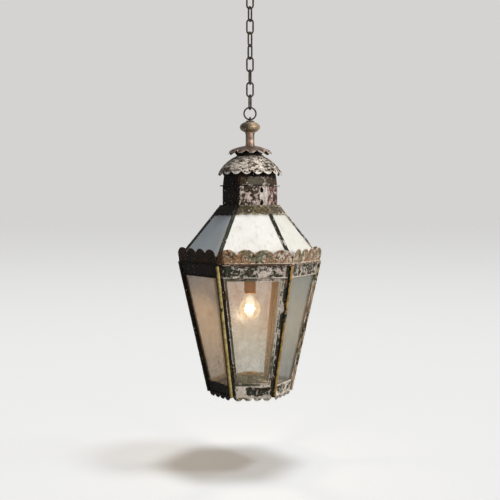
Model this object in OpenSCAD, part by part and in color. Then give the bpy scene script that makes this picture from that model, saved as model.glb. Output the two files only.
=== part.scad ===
// Hexagonal copper lantern on a chain: six tapered glazed sides with a door in the front one,
// a glazed roof, a pierced vent drum under two scalloped caps, and an electric lamp inside.
// Millimetres. The origin is the middle of the ceiling plate's top face, and +Z points up.
// The lantern's own heights are counted up from the foot of its body.

/* [Body] */
// Corner radius of the body at its foot
foot_r = 114.5; // [108:0.5:120]
// Corner radius of the body under the crown
head_r = 196; // [186:1:206]
// Height of the tapered body
body_h = 364; // [340:1:390]
// Thickness of the sheet metal
sheet_t = 1.4; // [1.2:0.1:1.6]
// Thickness of the panes
pane_t = 3; // [2.5:0.5:3.5]

/* [Corner posts] */
// Width of each leg of a corner post
leg_w = 13; // [12:0.5:14.5]
// Radius of the half-round bead on each corner
bead_r = 4.6; // [4:0.1:5]
// Depth to which a pane sits in the channel of a post
pane_grip = 5; // [4:0.5:5.5]

/* [Rails and mouldings] */
// Height of the bottom rail
foot_rail_h = 31.5; // [29:0.5:34]
// Height of the frieze under the crown
frieze_h = 36; // [30:1:42]
// Radius of the round wires on the rails
wire_r = 1.5; // [1.2:0.1:1.8]
// Height of the crown's base moulding
moulding_h = 3.6; // [3:0.2:5]
// Width of the crown's base moulding
moulding_w = 4.7; // [4.5:0.1:6]
// Depth of the scalloped border below the body
border_drop = 10.4; // [8:0.2:13]
// Scallops on each side of the border
border_lobes = 4; // [3:1:5]

/* [Floor] */
// Depth of the floor plate below the top of the bottom rail
floor_drop = 11.5; // [10.5:0.5:16]
// Radius of the old candle pan
pan_r = 26; // [20:1:30]
// Height of the candle pan's stem
pan_stem_h = 20; // [12:1:26]

/* [Door] */
// Gap all round the door
door_gap = 0.8; // [0.6:0.1:1.2]
// Width of the door frame's strips
stile_w = 6.5; // [6:0.5:8]
// Length of each hinge
hinge_l = 24.6; // [20:0.2:30]
// Radius of the hinge knuckles
knuckle_r = 2.4; // [2.2:0.1:2.5]
// Radius of the hinge pins
pin_r = 1.2; // [1:0.05:1.4]

/* [Turn button] */
// Length of the turn button to the right of its rivet
button_long = 26; // [22:0.5:30]
// Length of the turn button to the left of its rivet
button_short = 18; // [14:0.5:19]
// Width of the turn button
button_w = 11; // [9:0.5:12]
// Distance of its rivet to the right of the middle
button_x = 21.4; // [18:0.2:22]
// Radius of its rivet
rivet_r = 1.6; // [1.3:0.1:2]

/* [Crown] */
// Height of the crown's plates up to the tips of their lobes
crown_h = 39; // [34:1:44]
// Rise of each lobe above the notches
crown_rise = 12; // [9:0.5:14]
// Lobes on each side of the crown
crown_lobes = 4; // [3:1:5]
// Opening left between two plates at each corner, half of it, at their tips
corner_gap = 7; // [0:0.5:10]

/* [Roof] */
// Height of the curb that carries the roof
curb_h = 17.9; // [14:0.1:24]
// Distance of the roof's eaves inside the corners of the body's head
eave_step = 6; // [5:0.5:16]
// Height of the roof from its eaves to the collar
roof_h = 135.5; // [120:0.5:150]
// Corner radius of the roof at the collar
roof_top_r = 81.5; // [78:0.5:88]
// Width of each half of a hip rib
rib_w = 6; // [5:0.5:8]
// Length of the sheet apron down the roof
apron_l = 30; // [24:1:38]
// Scallops on each side of the apron
apron_lobes = 4; // [3:1:6]

/* [Vent drum] */
// Corner radius of the pierced drum
drum_r = 76.5; // [72:0.5:79]
// Height of the pierced drum
drum_h = 52; // [48:0.5:60]
// Corner radius of the ridge between the drums
ridge_r = 84.5; // [81:0.5:90]
// Height of the ridge
ridge_h = 3; // [2.6:0.2:4]
// Height of the upper drum
upper_h = 37; // [30:0.5:42]
// Corner radius of the upper drum at its foot
upper_foot_r = 76; // [74:0.5:78]
// Corner radius of the upper drum at its top
upper_top_r = 71.5; // [68:0.5:73]
// Radius of the round part of a keyhole vent
vent_r = 2.6; // [2:0.1:3]
// Width of the slit of a keyhole vent
slit_w = 2.2; // [1.6:0.1:2.8]

/* [Caps] */
// Length of the spacer tube that carries the large cap
spacer_h = 75.5; // [70:0.5:80]
// Radius of the large cap at the tips of its scallops
dome_r = 89; // [87:0.5:96]
// Height of the large cap
dome_h = 52.5; // [50:0.5:54]
// Scallops of the large cap
dome_lobes = 18; // [12:1:24]
// Height of the black neck between the caps
neck_h = 25; // [20:0.5:32]
// Radius of the neck's waist
neck_r = 28.6; // [26:0.2:31]
// Radius of the small cap at the tips of its petals
small_r = 60.3; // [56:0.1:66]
// Petals of the small cap
small_lobes = 12; // [8:1:16]

/* [Finial] */
// Height of the stem
stem_h = 35; // [28:0.5:44]
// Radius of the stem at its foot
stem_r = 12.6; // [12:0.1:14]
// Radius of the ball knob
knob_r = 28.5; // [26:0.5:32]
// Height of the ball knob
knob_h = 33.4; // [31:0.1:38]
// Radius of the tie rod
rod_r = 5; // [4.5:0.1:5.5]
// Wire radius of the eye on top of the knob
eye_wire_r = 2.5; // [2.2:0.1:2.8]

/* [Chain] */
// Wire radius of the hanging ring
ring_wire_r = 2.25; // [2:0.05:2.4]
// Centreline radius of the hanging ring
ring_rho = 16.6; // [15:0.1:19]
// Wire radius of the chain links
link_wire_r = 2.35; // [2.1:0.05:2.5]
// Outer length of a link
link_l = 44.4; // [42:0.2:48]
// Outer width of a link
link_w = 22; // [21:0.2:24]
// Wire radius of the ceiling hook
hook_wire_r = 2.75; // [2.4:0.05:3]
// Centreline radius of the ceiling hook
hook_rho = 9.5; // [9:0.1:12]

/* [Ceiling plate] */
// Radius of the ceiling plate
plate_r = 42; // [38:1:50]
// Height of the ceiling plate
plate_h = 22; // [20:0.5:28]
// Distance between its two screw holes
hole_spacing = 56; // [50:1:60]
// Radius of the screw holes
hole_r = 2.6; // [2:0.1:3]

/* [Lamp] */
// Height of the lamp holder's mouth above the foot
mouth_z = 274.3; // [250:0.5:290]
// Outer radius of the lamp holder
holder_r = 16.2; // [15.8:0.1:18]
// Length of the lamp holder's shell
shell_h = 35; // [33:0.5:40]
// Radius of the bulb
bulb_r = 30; // [26:0.5:32]
// Radius of the bulb's screw cap
cap_r = 13.2; // [13:0.05:13.3]
// Radius of the lead inside the lantern
lead_r = 2.75; // [2.4:0.05:2.8]
// Bore radius of the cord inlet
inlet_r = 3.3; // [3:0.1:3.6]

/* [Hidden] */
$fn = 48;

// Clearances
seam = 0.1;         // between pieces that are soldered or screwed together
solder = 0.05;      // under a piece that is soldered on flat
running = 0.05;     // radial, of a pin in its hole
play = 0.3;         // between pieces that move past each other

// Body geometry
function flat(r) = r * cos(30);
function body_r(z) = foot_r + (head_r - foot_r) * z / body_h;
face_lean = atan((flat(head_r) - flat(foot_r)) / body_h);
post_lean = atan((head_r - foot_r) / body_h);
function up(z) = z / cos(face_lean);
function half_w(z) = body_r(z) / 2;
edge_lean = atan((half_w(body_h) - half_w(0)) / up(body_h));
function across(s) = s / cos(edge_lean);
slab_r = head_r + 64;   // reach of the cutting slabs, past every wall

// Corner posts: the channel behind a leg holds a pane
channel_s = leg_w - pane_grip - 1.7;
lip_t = 1.2;
pane_w = -sheet_t - play;
channel_depth = sheet_t + pane_t + 0.8;

// Door
door_foot_z = foot_rail_h + door_gap;
door_head_z = body_h - frieze_h - 2 * door_gap;
hinge_s = leg_w + door_gap / 2;
hinge_w = knuckle_r + 0.5;
hinge_ys = [70, 275];
leaf_t = 0.8;
rim_depth = pane_t + 1.6;

// Floor and turn button
floor_z = foot_rail_h - floor_drop;
button_z = foot_rail_h - 6.8;
foot_wire_z = 1.5 + wire_r;
washer_t = 0.6;
button_t = 1.6;

// Crown and roof
ring_t = 1.6;
ring_w = 28;         // of the flat ring on the body's head, inwards
eave_lip = 9;
crown_z = body_h + ring_t;
crown_w = 1.0;
crown_t = 1.2;
ring_r = head_r + moulding_w + 0.6;
eave_r = head_r - eave_step;
eave_z = crown_z + curb_h;
roof_pitch = atan(roof_h / (flat(eave_r) - flat(roof_top_r)));
hip_lean = -atan((eave_r - roof_top_r) / roof_h);
function roof_up(h) = h / sin(roof_pitch);
function roof_half(h) = (eave_r + (roof_top_r - eave_r) * h / roof_h) / 2;
hip_edge = atan((eave_r - roof_top_r) / 2 / roof_up(roof_h));
rib_t = 1.6;
rib_web = 2.2;
apron_t = 1.2;

// Vent drum
collar_h = 1.6;
collar_z = eave_z + roof_h + 1;
drum_z = collar_z + collar_h;
ridge_z = drum_z + drum_h;
upper_z = ridge_z + ridge_h;
drum_wall = 1.3;
vent_pitch = drum_r * 0.353;
slit_l = 9;
inlet_z = drum_z + drum_h / 2;

// Stack on the tie rod
bridge_h = 3.2;
bridge_w = 16;
spacer_z = upper_z + bridge_h;
dome_t = 1.6;
dome_top = spacer_z + spacer_h + dome_t;
dome_flat = 39;
dome_lobe_h = 11;
dome_lobe_out = 3.6;
neck_z = dome_top;
small_t = 1.2;
small_flat = 16;
small_lobe_h = 10;
small_lobe_out = 5.2;
small_drop = 12.8;
cap_bends = 7;       // flats that stand for the arc of a cap's skirt
notch_reach = 12;    // of the tool that cuts a notch, each way from the rim
notch_root = 1;
neck_bore = neck_r - 4;
small_depth = centre_depth(small_flat, small_r - small_lobe_out, small_drop);
small_ball = norm([small_flat, small_depth]);
small_under = sqrt((small_ball - small_t) ^ 2 - neck_r ^ 2) - small_depth;
small_top = neck_z + neck_h + seam - small_under;
knob_z = small_top + stem_h;
knob_round = 13.6;
collar_t = 1.8;
eye_z = knob_z + knob_h + collar_t + 1.7;
eye_rho = 6.7;
nut_h = 22;
nut_r = 9.8;

// Chain, from the ring up
ring_low = eye_z + eye_rho - eye_wire_r - ring_wire_r - play + 0.05;
ring_z = ring_low + ring_rho;
link_rho = link_w / 2 - link_wire_r;
link_half = link_l / 2 - link_wire_r;
link_pitch = 2 * link_half - 2 * link_wire_r - play;
last_link_z = ring_z + ring_rho - ring_wire_r - link_wire_r - play + link_half;
link_turns = [-10, 58, -12, 54, 120, 186, 252, 176, 103];
link_count = len(link_turns);
function link_z(n) = last_link_z + (link_count - n) * link_pitch;
hook_low = link_z(1) + link_half - link_wire_r - hook_wire_r - play;
hook_z = hook_low + hook_rho;
shank_h = 8;
shank_in = 12;       // length of the hook's shank inside the plate
boss_r = 9;
boss_h = 7;
plate_z = hook_z + hook_rho + shank_h;
ceiling_z = plate_z + plate_h;

// Lamp
shell_t = 1;
holder_cap_h = 16;
holder_top = mouth_z + shell_h + holder_cap_h;
tube_top = upper_z - seam - 12;
lead_y = rod_r + lead_r + 1.2;
lead_bend = 24;
inlet_y = flat(drum_r);
inlet_l = 12;
bulb_neck = cap_r - 0.2;
bulb_neck_l = 14.5;
bulb_z = mouth_z - bulb_r - bulb_neck_l;
cap_h = 24;
bulb_wall = 0.8;
mount_top = mouth_z + 1.7 - bulb_z;
filament_z = -7;
filament_h = 20;
filament_ring = 9;
filament_wire = 0.6;

// Depth of a cap's sphere centre below its flat top, where the sphere falls by drop from a to b
function centre_depth(a, b, drop) = (b * b + drop * drop - a * a) / 2 / drop;

// Places its children in the frame whose origin is the ceiling plate's top face
module hung() { translate([0, 0, -ceiling_z]) children(); }

// Frame of a body side: x along the side, y up the slope, z outwards
module on_side(k) {
    rotate([0, 0, 60 * k]) translate([0, -flat(foot_r), 0]) rotate([90 + face_lean, 0, 0]) children();
}

// Frame of the door's hinge edge: x into the door from the corner line, y along that line
module on_hinge_edge() {
    on_side(0) translate([-foot_r / 2, 0, 0]) rotate([0, 0, edge_lean]) children();
}

// Frame of a roof side: x along the eaves, y up the slope, z outwards
module on_roof(k) {
    rotate([0, 0, 60 * k]) translate([0, -flat(eave_r), eave_z]) rotate([roof_pitch, 0, 0]) children();
}

// Frame of a corner line: x outwards, y round the lantern, z along the line
module on_corner(k, r, z, lean) {
    rotate([0, 0, 60 * k - 120]) translate([r, 0, z]) rotate([0, lean, 0]) children();
}

// Everything between two heights
module between(z0, z1) {
    intersection() {
        translate([-slab_r, -slab_r, z0]) cube([2 * slab_r, 2 * slab_r, z1 - z0]);
        children();
    }
}

// Plate of a body side between two heights, narrowed at both edges
module side_plate(z0, z1, inset, w, t) {
    translate([0, 0, w]) linear_extrude(t) polygon([
        [-half_w(z0) + inset, up(z0)], [half_w(z0) - inset, up(z0)],
        [half_w(z1) - inset, up(z1)], [-half_w(z1) + inset, up(z1)]
    ]);
}

// Plate of a roof side between two heights above the eaves
module roof_plate(h0, h1, inset, w, t) {
    translate([0, 0, w]) linear_extrude(t) polygon([
        [-roof_half(h0) + inset, roof_up(h0)], [roof_half(h0) - inset, roof_up(h0)],
        [roof_half(h1) - inset, roof_up(h1)], [-roof_half(h1) + inset, roof_up(h1)]
    ]);
}

// Hexagonal ring with upright walls
module hex_ring(r_out, r_in, h) {
    linear_extrude(h) difference() {
        circle(r_out, $fn = 6);
        circle(r_in, $fn = 6);
    }
}

// Strip of a corner section: from s0 to s1 along the leg, from t0 to t1 inwards
module strip(lean, s0, s1, t0, t1) {
    rotate(180 - atan(sqrt(3) / cos(lean))) translate([s0, t0]) square([s1 - s0, t1 - t0]);
}

// One leg of a post, with a channel for a pane if it borders a fixed side
module post_leg(channel) {
    strip(post_lean, 0, leg_w, 0, sheet_t);
    if (channel) {
        strip(post_lean, channel_s, channel_s + lip_t, 0, channel_depth + lip_t);
        strip(post_lean, channel_s, leg_w - 1, channel_depth, channel_depth + lip_t);
    }
}

// Section of a corner post
module post_section(right_channel, left_channel) {
    post_leg(right_channel);
    mirror([0, 1]) post_leg(left_channel);
}

module corner_posts() {
    color("darkslategray") hung() for (k = [0:5])
        between(0, body_h) on_corner(k, foot_r, 0, post_lean)
            translate([0, 0, -10]) linear_extrude(body_h * 1.1) post_section(k != 0, k != 1);
}

// Section of the bead that is soldered over a post's outer edge
module bead_section() {
    q = atan(sqrt(3) / cos(post_lean));
    reach = 4 * bead_r;
    difference() {
        translate([0.8, 0]) circle(bead_r);
        translate([seam, 0]) polygon([[0, 0], reach * [-cos(q), sin(q)], reach * [-cos(q), -sin(q)]]);
    }
}

module corner_beads() {
    color("darkgoldenrod") hung() for (k = [0:5])
        between(0, body_h - moulding_h - seam) on_corner(k, foot_r, 0, post_lean)
            translate([0, 0, -10]) linear_extrude(body_h * 1.1) bead_section();
}

module frieze() {
    color("darkslategray") hung() for (k = [0:5])
        on_side(k) side_plate(body_h - frieze_h, body_h - play, across(leg_w + seam), -sheet_t, sheet_t);
}

// Round wire along a body side at height z, standing on the plate
module side_wire(k, z) {
    on_side(k) translate([0, up(z), wire_r + solder]) rotate([0, 90, 0])
        cylinder(h = 2 * (half_w(z) - bead_r - 3), r = wire_r, center = true, $fn = 24);
}

module frieze_wires() {
    color("ivory") hung() for (k = [0:5]) side_wire(k, body_h - frieze_h + wire_r);
}

module bottom_rail() {
    ledge_w = 13;
    ledge_half = half_w(floor_z) - leg_w - 2;
    color("darkolivegreen") hung() for (k = [0:5]) {
        difference() {
            union() {
                on_side(k)
                    side_plate(0, foot_rail_h, across(leg_w + seam), -sheet_t, sheet_t);
                rotate([0, 0, 60 * k])
                    translate([-ledge_half, -flat(body_r(floor_z)) + 0.5, floor_z - sheet_t])
                        cube([2 * ledge_half, ledge_w, sheet_t]);
            }
            if (k == 0) on_side(k) translate([button_x, up(button_z), -sheet_t - 1])
                cylinder(h = sheet_t + 2, r = rivet_r + running);
        }
    }
}

module foot_wires() {
    color("ivory") hung() for (k = [0:5]) side_wire(k, foot_wire_z);
}

module side_panes() {
    inset = across(channel_s + lip_t + play);
    color("lightblue", 0.4) hung() for (k = [1:5])
        on_side(k) side_plate(floor_z + play, body_h - frieze_h + 6, inset, pane_w - pane_t, pane_t);
}

// Flat outline of the border of one side: a strip with half-round scallops under it
module border_outline() {
    half = half_w(0) - 6;
    pitch = 2 * half / border_lobes;
    top = up(foot_wire_z - wire_r) - seam;
    intersection() {
        translate([-half, -border_drop]) square([2 * half, border_drop + top]);
        union() {
            translate([-half, -border_drop + pitch * 0.3]) square([2 * half, border_drop + 6]);
            for (i = [0:border_lobes - 1])
                translate([(i + 0.5) * pitch - half, pitch / 2 - border_drop]) circle(pitch / 2);
        }
    }
}

module bottom_border() {
    color("rosybrown") hung() for (k = [0:5])
        on_side(k) translate([0, 0, solder]) linear_extrude(1.8) border_outline();
}

module floor_plate() {
    color("darkseagreen") hung() translate([0, 0, floor_z])
        linear_extrude(sheet_t) circle(body_r(floor_z) - (channel_depth + lip_t + 1) / cos(30), $fn = 6);
}

module candle_pan() {
    pan_z = floor_z + sheet_t;
    color("sienna") hung() translate([0, 0, pan_z]) rotate_extrude() {
        polygon([[0, 0], [17, 0], [16, 2.4], [9, 5], [7, pan_stem_h], [0, pan_stem_h]]);
        translate([0, pan_stem_h - 1]) polygon([
            [0, 0], [12, 0], [pan_r - 1.5, 3.5], [pan_r, 9], [pan_r - 1.4, 9],
            [pan_r - 3.2, 5], [12.5, 3.2], [12.5, 10.5], [11, 10.5], [11, 3.2], [0, 3.2]
        ]);
    }
}

module door_frame() {
    inset = across(leg_w + door_gap);
    inner = inset + across(stile_w);
    color("darkslategray") hung() on_side(0) {
        difference() {
            side_plate(door_foot_z, door_head_z, inset, -sheet_t, sheet_t);
            side_plate(door_foot_z + stile_w, door_head_z - stile_w, inner, -sheet_t - 1, sheet_t + 2);
        }
        difference() {
            side_plate(door_foot_z, door_head_z, inset, -sheet_t - rim_depth, rim_depth);
            side_plate(door_foot_z + lip_t, door_head_z - lip_t, inset + across(lip_t),
                -sheet_t - rim_depth - 1, rim_depth + 2);
        }
    }
}

module door_pane() {
    inset = across(leg_w + door_gap + lip_t + play);
    color("lightblue", 0.4) hung() on_side(0)
        side_plate(door_foot_z + lip_t + play, door_head_z - lip_t - play, inset,
            pane_w - pane_t, pane_t);
}

// One knuckle round the hinge line, from y0 to y1, with its tongue towards side
module knuckle(y0, y1, side) {
    difference() {
        union() {
            translate([0, y0, hinge_w]) rotate([-90, 0, 0]) cylinder(h = y1 - y0, r = knuckle_r);
            translate([side > 0 ? 0 : -knuckle_r - 1, y0, 0.02])
                cube([knuckle_r + 1, y1 - y0, leaf_t + 0.4]);
        }
        translate([0, y0 - 1, hinge_w]) rotate([-90, 0, 0])
            cylinder(h = y1 - y0 + 2, r = pin_r + running);
        translate([side > 0 ? -knuckle_r - 1 : 0, y0 - 1, -1])
            cube([knuckle_r + 1, y1 - y0 + 2, 1 + hinge_w - knuckle_r + 0.2]);
    }
}

knuckle_l = (hinge_l - 2 * play) / 3;

module door_hinge_leaves() {
    color("darkgoldenrod") hung() on_hinge_edge() for (y = hinge_ys)
        translate([hinge_s, y, 0]) {
            knuckle(knuckle_l + play, 2 * knuckle_l + play, 1);
            translate([knuckle_r + play, 0, 0.02]) cube([stile_w - knuckle_r - play - 0.6, hinge_l, leaf_t]);
        }
}

module post_hinge_leaves() {
    color("darkgoldenrod") hung() on_hinge_edge() for (y = hinge_ys)
        translate([hinge_s, y, 0]) {
            knuckle(0, knuckle_l, -1);
            knuckle(2 * (knuckle_l + play), hinge_l, -1);
            translate([-knuckle_r - play - 4, 0, 0.02]) cube([4, hinge_l, leaf_t]);
        }
}

module hinge_pins() {
    color("goldenrod") hung() on_hinge_edge() for (y = hinge_ys)
        translate([hinge_s, y - 1, hinge_w]) rotate([-90, 0, 0]) {
            cylinder(h = hinge_l + 1 + seam + 1, r = pin_r);
            translate([0, 0, hinge_l + 1 + seam]) cylinder(h = 1.6, r1 = pin_r + 0.8, r2 = pin_r);
        }
}

module turn_button() {
    ends = [button_w / 2 - button_short, button_long - button_w / 2];
    color("dimgray") hung() on_side(0) translate([button_x, up(button_z), washer_t + play])
        linear_extrude(button_t) difference() {
            union() {
                translate([ends[0], -button_w / 2]) square([ends[1] - ends[0], button_w]);
                for (x = ends) translate([x, 0]) circle(button_w / 2);
            }
            circle(rivet_r + running);
        }
}

module button_rivet() {
    shank = sheet_t + washer_t + button_t + 2 * play;
    color("goldenrod") hung() on_side(0) translate([button_x, up(button_z), 0]) {
        translate([0, 0, seam]) cylinder(h = washer_t - seam, r = 3.6);
        translate([0, 0, -sheet_t - 1]) cylinder(h = shank + 1.5, r = rivet_r);
        translate([0, 0, washer_t + button_t + 2 * play]) cylinder(h = 1.3, r1 = 3.6, r2 = 2);
        translate([0, 0, -sheet_t - 1.2]) cylinder(h = 1.1, r = 3);
    }
}

// Half-round lobes along a line, cut from a strip: u0..u1 wide, tips at y = top
module lobed_top(half, foot, notch, rise, count) {
    pitch = 2 * half / count;
    r = (pitch * pitch / 4 + rise * rise) / 2 / rise;
    translate([-half, foot]) square([2 * half, notch - foot]);
    for (i = [0:count - 1])
        intersection() {
            translate([(i + 0.5) * pitch - half, notch + rise - r]) circle(r);
            translate([i * pitch - half, foot + 1]) square([pitch, notch + rise - foot]);
        }
}

module crown_outline() {
    tip = up(crown_z + crown_h);
    foot = up(crown_z) + 0.6;
    notch = tip - crown_rise;
    half = half_w(crown_z + crown_h - crown_rise) + 0.4;
    pitch = 2 * half / crown_lobes;
    slit_foot = notch - 16;
    difference() {
        intersection() {
            lobed_top(half, foot, notch, crown_rise, crown_lobes);
            polygon([
                [-half_w(crown_z) - 0.4, foot - 1], [half_w(crown_z) + 0.4, foot - 1],
                [half_w(crown_z + crown_h) - corner_gap, tip + 1], [corner_gap - half_w(crown_z + crown_h), tip + 1]
            ]);
        }
        for (i = [0:crown_lobes - 1]) translate([(i + 0.5) * pitch - half - 1, slit_foot])
            square([2, 11]);
    }
}

module crown_plates() {
    line_z = crown_z + crown_h - crown_rise - 2;
    color("sienna") hung() for (k = [0:5]) on_side(k) {
        translate([0, 0, crown_w]) linear_extrude(crown_t) crown_outline();
        translate([-half_w(line_z) + 1, up(line_z) - 0.8, crown_w + crown_t - 0.1])
            cube([2 * half_w(line_z) - 2, 1.4, 0.9]);
    }
}

module crown_moulding() {
    color("rosybrown") hung() translate([0, 0, body_h - moulding_h])
        hex_ring(head_r + moulding_w, head_r + seam, moulding_h);
}

module eave_ring() {
    top = eave_z - seam;
    color("darkslategray") hung() {
        translate([0, 0, body_h]) hex_ring(ring_r, head_r - ring_w, ring_t);
        translate([0, 0, body_h]) hex_ring(eave_r - 0.3, eave_r - 2.1, top - body_h);
        translate([0, 0, top - ring_t]) hex_ring(eave_r - 0.3, eave_r - eave_lip, ring_t);
    }
}

// Section of a hip rib: an outer cap, a web between the panes and an inner flange
module rib_half() {
    strip(hip_lean, -0.3, rib_w, -rib_t, 0);
    intersection() {
        union() {
            strip(hip_lean, 0, rib_web, -rib_t / 2, pane_t + 2);
            strip(hip_lean, 0, rib_w + 1.5, pane_t + 0.8, pane_t + 2);
        }
        translate([-slab_r, -0.3]) square([2 * slab_r, slab_r]);
    }
}

module roof_ribs() {
    color("darkolivegreen") hung() for (k = [0:5])
        between(eave_z, collar_z - seam) on_corner(k, eave_r, eave_z, hip_lean)
            translate([0, 0, -10]) linear_extrude(roof_h * 1.4) {
                rib_half();
                mirror([0, 1]) rib_half();
                circle(rib_t);
            }
}

module roof_panes() {
    inset = (rib_web + play) / cos(hip_edge);
    color("ivory") hung() for (k = [0:5])
        on_roof(k) roof_plate((pane_t + play) * cos(roof_pitch) + play, roof_h - 4, inset,
            -play - pane_t, pane_t);
}

// Apron plate of one roof side, ragged with shallow scallops at its lower edge
module apron_outline() {
    top = roof_up(roof_h) - 1;
    foot = top - apron_l;
    half = roof_half(roof_h - (apron_l + 1) * sin(roof_pitch)) + 0.8;
    mirror([0, 1]) translate([0, -top]) intersection() {
        lobed_top(half, 0, apron_l - 4, 4, apron_lobes);
        polygon([
            [-roof_half(roof_h) - 0.8, 0], [roof_half(roof_h) + 0.8, 0],
            [half, apron_l], [-half, apron_l]
        ]);
    }
}

module roof_apron() {
    color("olive") hung() for (k = [0:5])
        on_roof(k) translate([0, 0, rib_t + seam]) linear_extrude(apron_t) apron_outline();
}

module roof_collar() {
    color("darkolivegreen") hung() translate([0, 0, collar_z])
        hex_ring(roof_top_r + 4, drum_r - 16, collar_h);
}

// Keyhole vents of one drum side: a slit over a round hole, three columns by two rows
module keyholes() {
    for (x = [-vent_pitch, 0, vent_pitch], z = [drum_h * 0.06, drum_h * 0.72])
        translate([x, z + vent_r]) {
            circle(vent_r);
            translate([-slit_w / 2, 0]) square([slit_w, slit_l]);
        }
}

module vent_drum() {
    color("darkseagreen") hung() translate([0, 0, drum_z]) difference() {
        hex_ring(drum_r, drum_r - drum_wall / cos(30), drum_h);
        for (k = [0:5])
            rotate([0, 0, 60 * k]) translate([0, drum_wall + 1 - flat(drum_r), 0])
                rotate([90, 0, 0]) linear_extrude(drum_wall + 2) keyholes();
        translate([0, inlet_y + 1, inlet_z - drum_z]) rotate([90, 0, 0])
            cylinder(h = drum_wall + 2, r = inlet_r + 1.7 + seam);
    }
}

module drum_ridge() {
    color("dimgray") hung() translate([0, 0, ridge_z])
        hex_ring(ridge_r, drum_r - 14, ridge_h);
}

module upper_drum() {
    shell = drum_wall / cos(30);
    color("gray") hung() translate([0, 0, upper_z]) difference() {
        cylinder(h = upper_h, r1 = upper_foot_r, r2 = upper_top_r, $fn = 6);
        translate([0, 0, -0.01])
            cylinder(h = upper_h + 0.02, r1 = upper_foot_r - shell, r2 = upper_top_r - shell, $fn = 6);
    }
}

module cord_inlet_bush() {
    color("black") hung() translate([0, inlet_y, inlet_z]) rotate([90, 0, 0]) difference() {
        union() {
            translate([0, 0, -inlet_l + 6]) cylinder(h = inlet_l, r = inlet_r + 1.7);
            translate([0, 0, -3.6]) cylinder(h = 3.5, r1 = inlet_r + 3, r2 = inlet_r + 4.4);
            translate([0, 0, drum_wall + seam]) cylinder(h = 2.4, r = inlet_r + 4);
        }
        translate([0, 0, -inlet_l]) cylinder(h = 2 * inlet_l, r = inlet_r);
    }
}

module bridge_bar() {
    half = upper_foot_r - drum_wall / cos(30) - 8;
    color("dimgray") hung() translate([0, 0, upper_z]) difference() {
        translate([-half, -bridge_w / 2, 0]) cube([2 * half, bridge_w, bridge_h]);
        translate([0, 0, -1]) cylinder(h = bridge_h + 2, r = rod_r + seam);
    }
}

module coupling_nut() {
    color("goldenrod") hung() translate([0, 0, upper_z - seam - nut_h]) difference() {
        cylinder(h = nut_h, r = nut_r, $fn = 6);
        translate([0, 0, -1]) cylinder(h = nut_h + 2, r = rod_r + seam);
    }
}

module spacer_tube() {
    color("gray") hung() translate([0, 0, spacer_z]) difference() {
        cylinder(h = spacer_h, r = rod_r + 3.4);
        translate([0, 0, -1]) cylinder(h = spacer_h + 2, r = rod_r + 0.6);
    }
}

// Space between two neighbouring lobes of a cap's rim: x round the rim, y up
module notch_outline(pitch, depth, tip) {
    r = (pitch * pitch / 4 + depth * depth) / 2 / depth;
    difference() {
        translate([-pitch / 2 - 0.3, tip - 4]) square([pitch + 0.6, depth + 4]);
        for (x = [-pitch / 2, pitch / 2]) translate([x, tip + r]) circle(r);
    }
}

// Pressed cap with its top face at z = 0: a flat middle, a spherical skirt and a lobed rim
module pressed_cap(hole, flat_r, rim_r, drop, lobe_out, lobe_h, count, t) {
    depth_c = centre_depth(flat_r, rim_r, drop);
    ball = norm([flat_r, depth_c]);
    from = atan2(depth_c, flat_r);
    to = atan2(depth_c - drop, rim_r);
    bends = [for (i = [0:cap_bends]) from + (to - from) * i / cap_bends];
    fall = atan2(lobe_out, lobe_h);
    inward = t * [-cos(fall), -sin(fall)];
    tip = [rim_r + lobe_out, -drop - lobe_h];
    pitch = 2 * tip.x * sin(180 / count);
    difference() {
        rotate_extrude($fn = 96) polygon(concat(
            [[flat_r - 2, -t], [hole, -t], [hole, 0]],
            [for (a = bends) ball * [cos(a), sin(a)] - [0, depth_c]],
            [tip, tip + inward],
            [for (i = [cap_bends:-1:0])
                let(a = bends[i]) (ball - t) * [cos(a), sin(a)] - [0, depth_c]]
        ));
        for (i = [0:count - 1])
            rotate([0, 0, 360 / count * (i + 0.5)]) rotate([90, 0, 90]) translate([0, 0, rim_r - notch_reach])
                linear_extrude(2 * notch_reach) notch_outline(pitch, lobe_h - notch_root, tip.y - t * sin(fall) + 0.15);
    }
}

module dome_cap() {
    color("antiquewhite") hung() translate([0, 0, dome_top])
        pressed_cap(rod_r + seam, dome_flat, dome_r - dome_lobe_out, dome_h - dome_lobe_h,
            dome_lobe_out, dome_lobe_h, dome_lobes, dome_t);
}

module cap_neck() {
    cove = 16;
    foot = dome_flat - 0.5;
    color("black") hung() translate([0, 0, neck_z]) rotate_extrude() difference() {
        translate([neck_bore, 0]) square([foot - neck_bore, neck_h]);
        translate([neck_r + cove, cove + 0.5]) circle(cove, $fn = 96);
        translate([neck_r, cove + 0.5]) square([cove, neck_h]);
    }
}

module small_cap() {
    color("tan") hung() translate([0, 0, small_top])
        pressed_cap(rod_r + seam, small_flat, small_r - small_lobe_out, small_drop,
            small_lobe_out, small_lobe_h, small_lobes, small_t);
}

module stem_tube() {
    bore = rod_r + 3;
    color("saddlebrown") hung() translate([0, 0, small_top]) rotate_extrude()
        polygon([
            [bore, 0], [stem_r + 1.4, 0], [stem_r + 1.4, 1.6], [stem_r, 2.6],
            [stem_r - 0.7, stem_h], [bore, stem_h]
        ]);
}

module finial_knob() {
    bore = rod_r + seam;
    foot = stem_r + 0.6;
    color("darkgoldenrod") hung() translate([0, 0, knob_z]) rotate_extrude($fn = 96) {
        difference() {
            translate([knob_r - knob_round, knob_h - knob_round]) circle(knob_round, $fn = 64);
            translate([-knob_r, 0]) square([knob_r + bore, knob_h]);
        }
        translate([bore, knob_h - 2 * knob_round]) square([knob_r - knob_round - bore, 2 * knob_round]);
        polygon([[bore, 0], [foot, 0], [foot + 6, knob_h - 2 * knob_round + 1.4],
            [bore, knob_h - 2 * knob_round + 1.4]]);
    }
}

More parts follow.
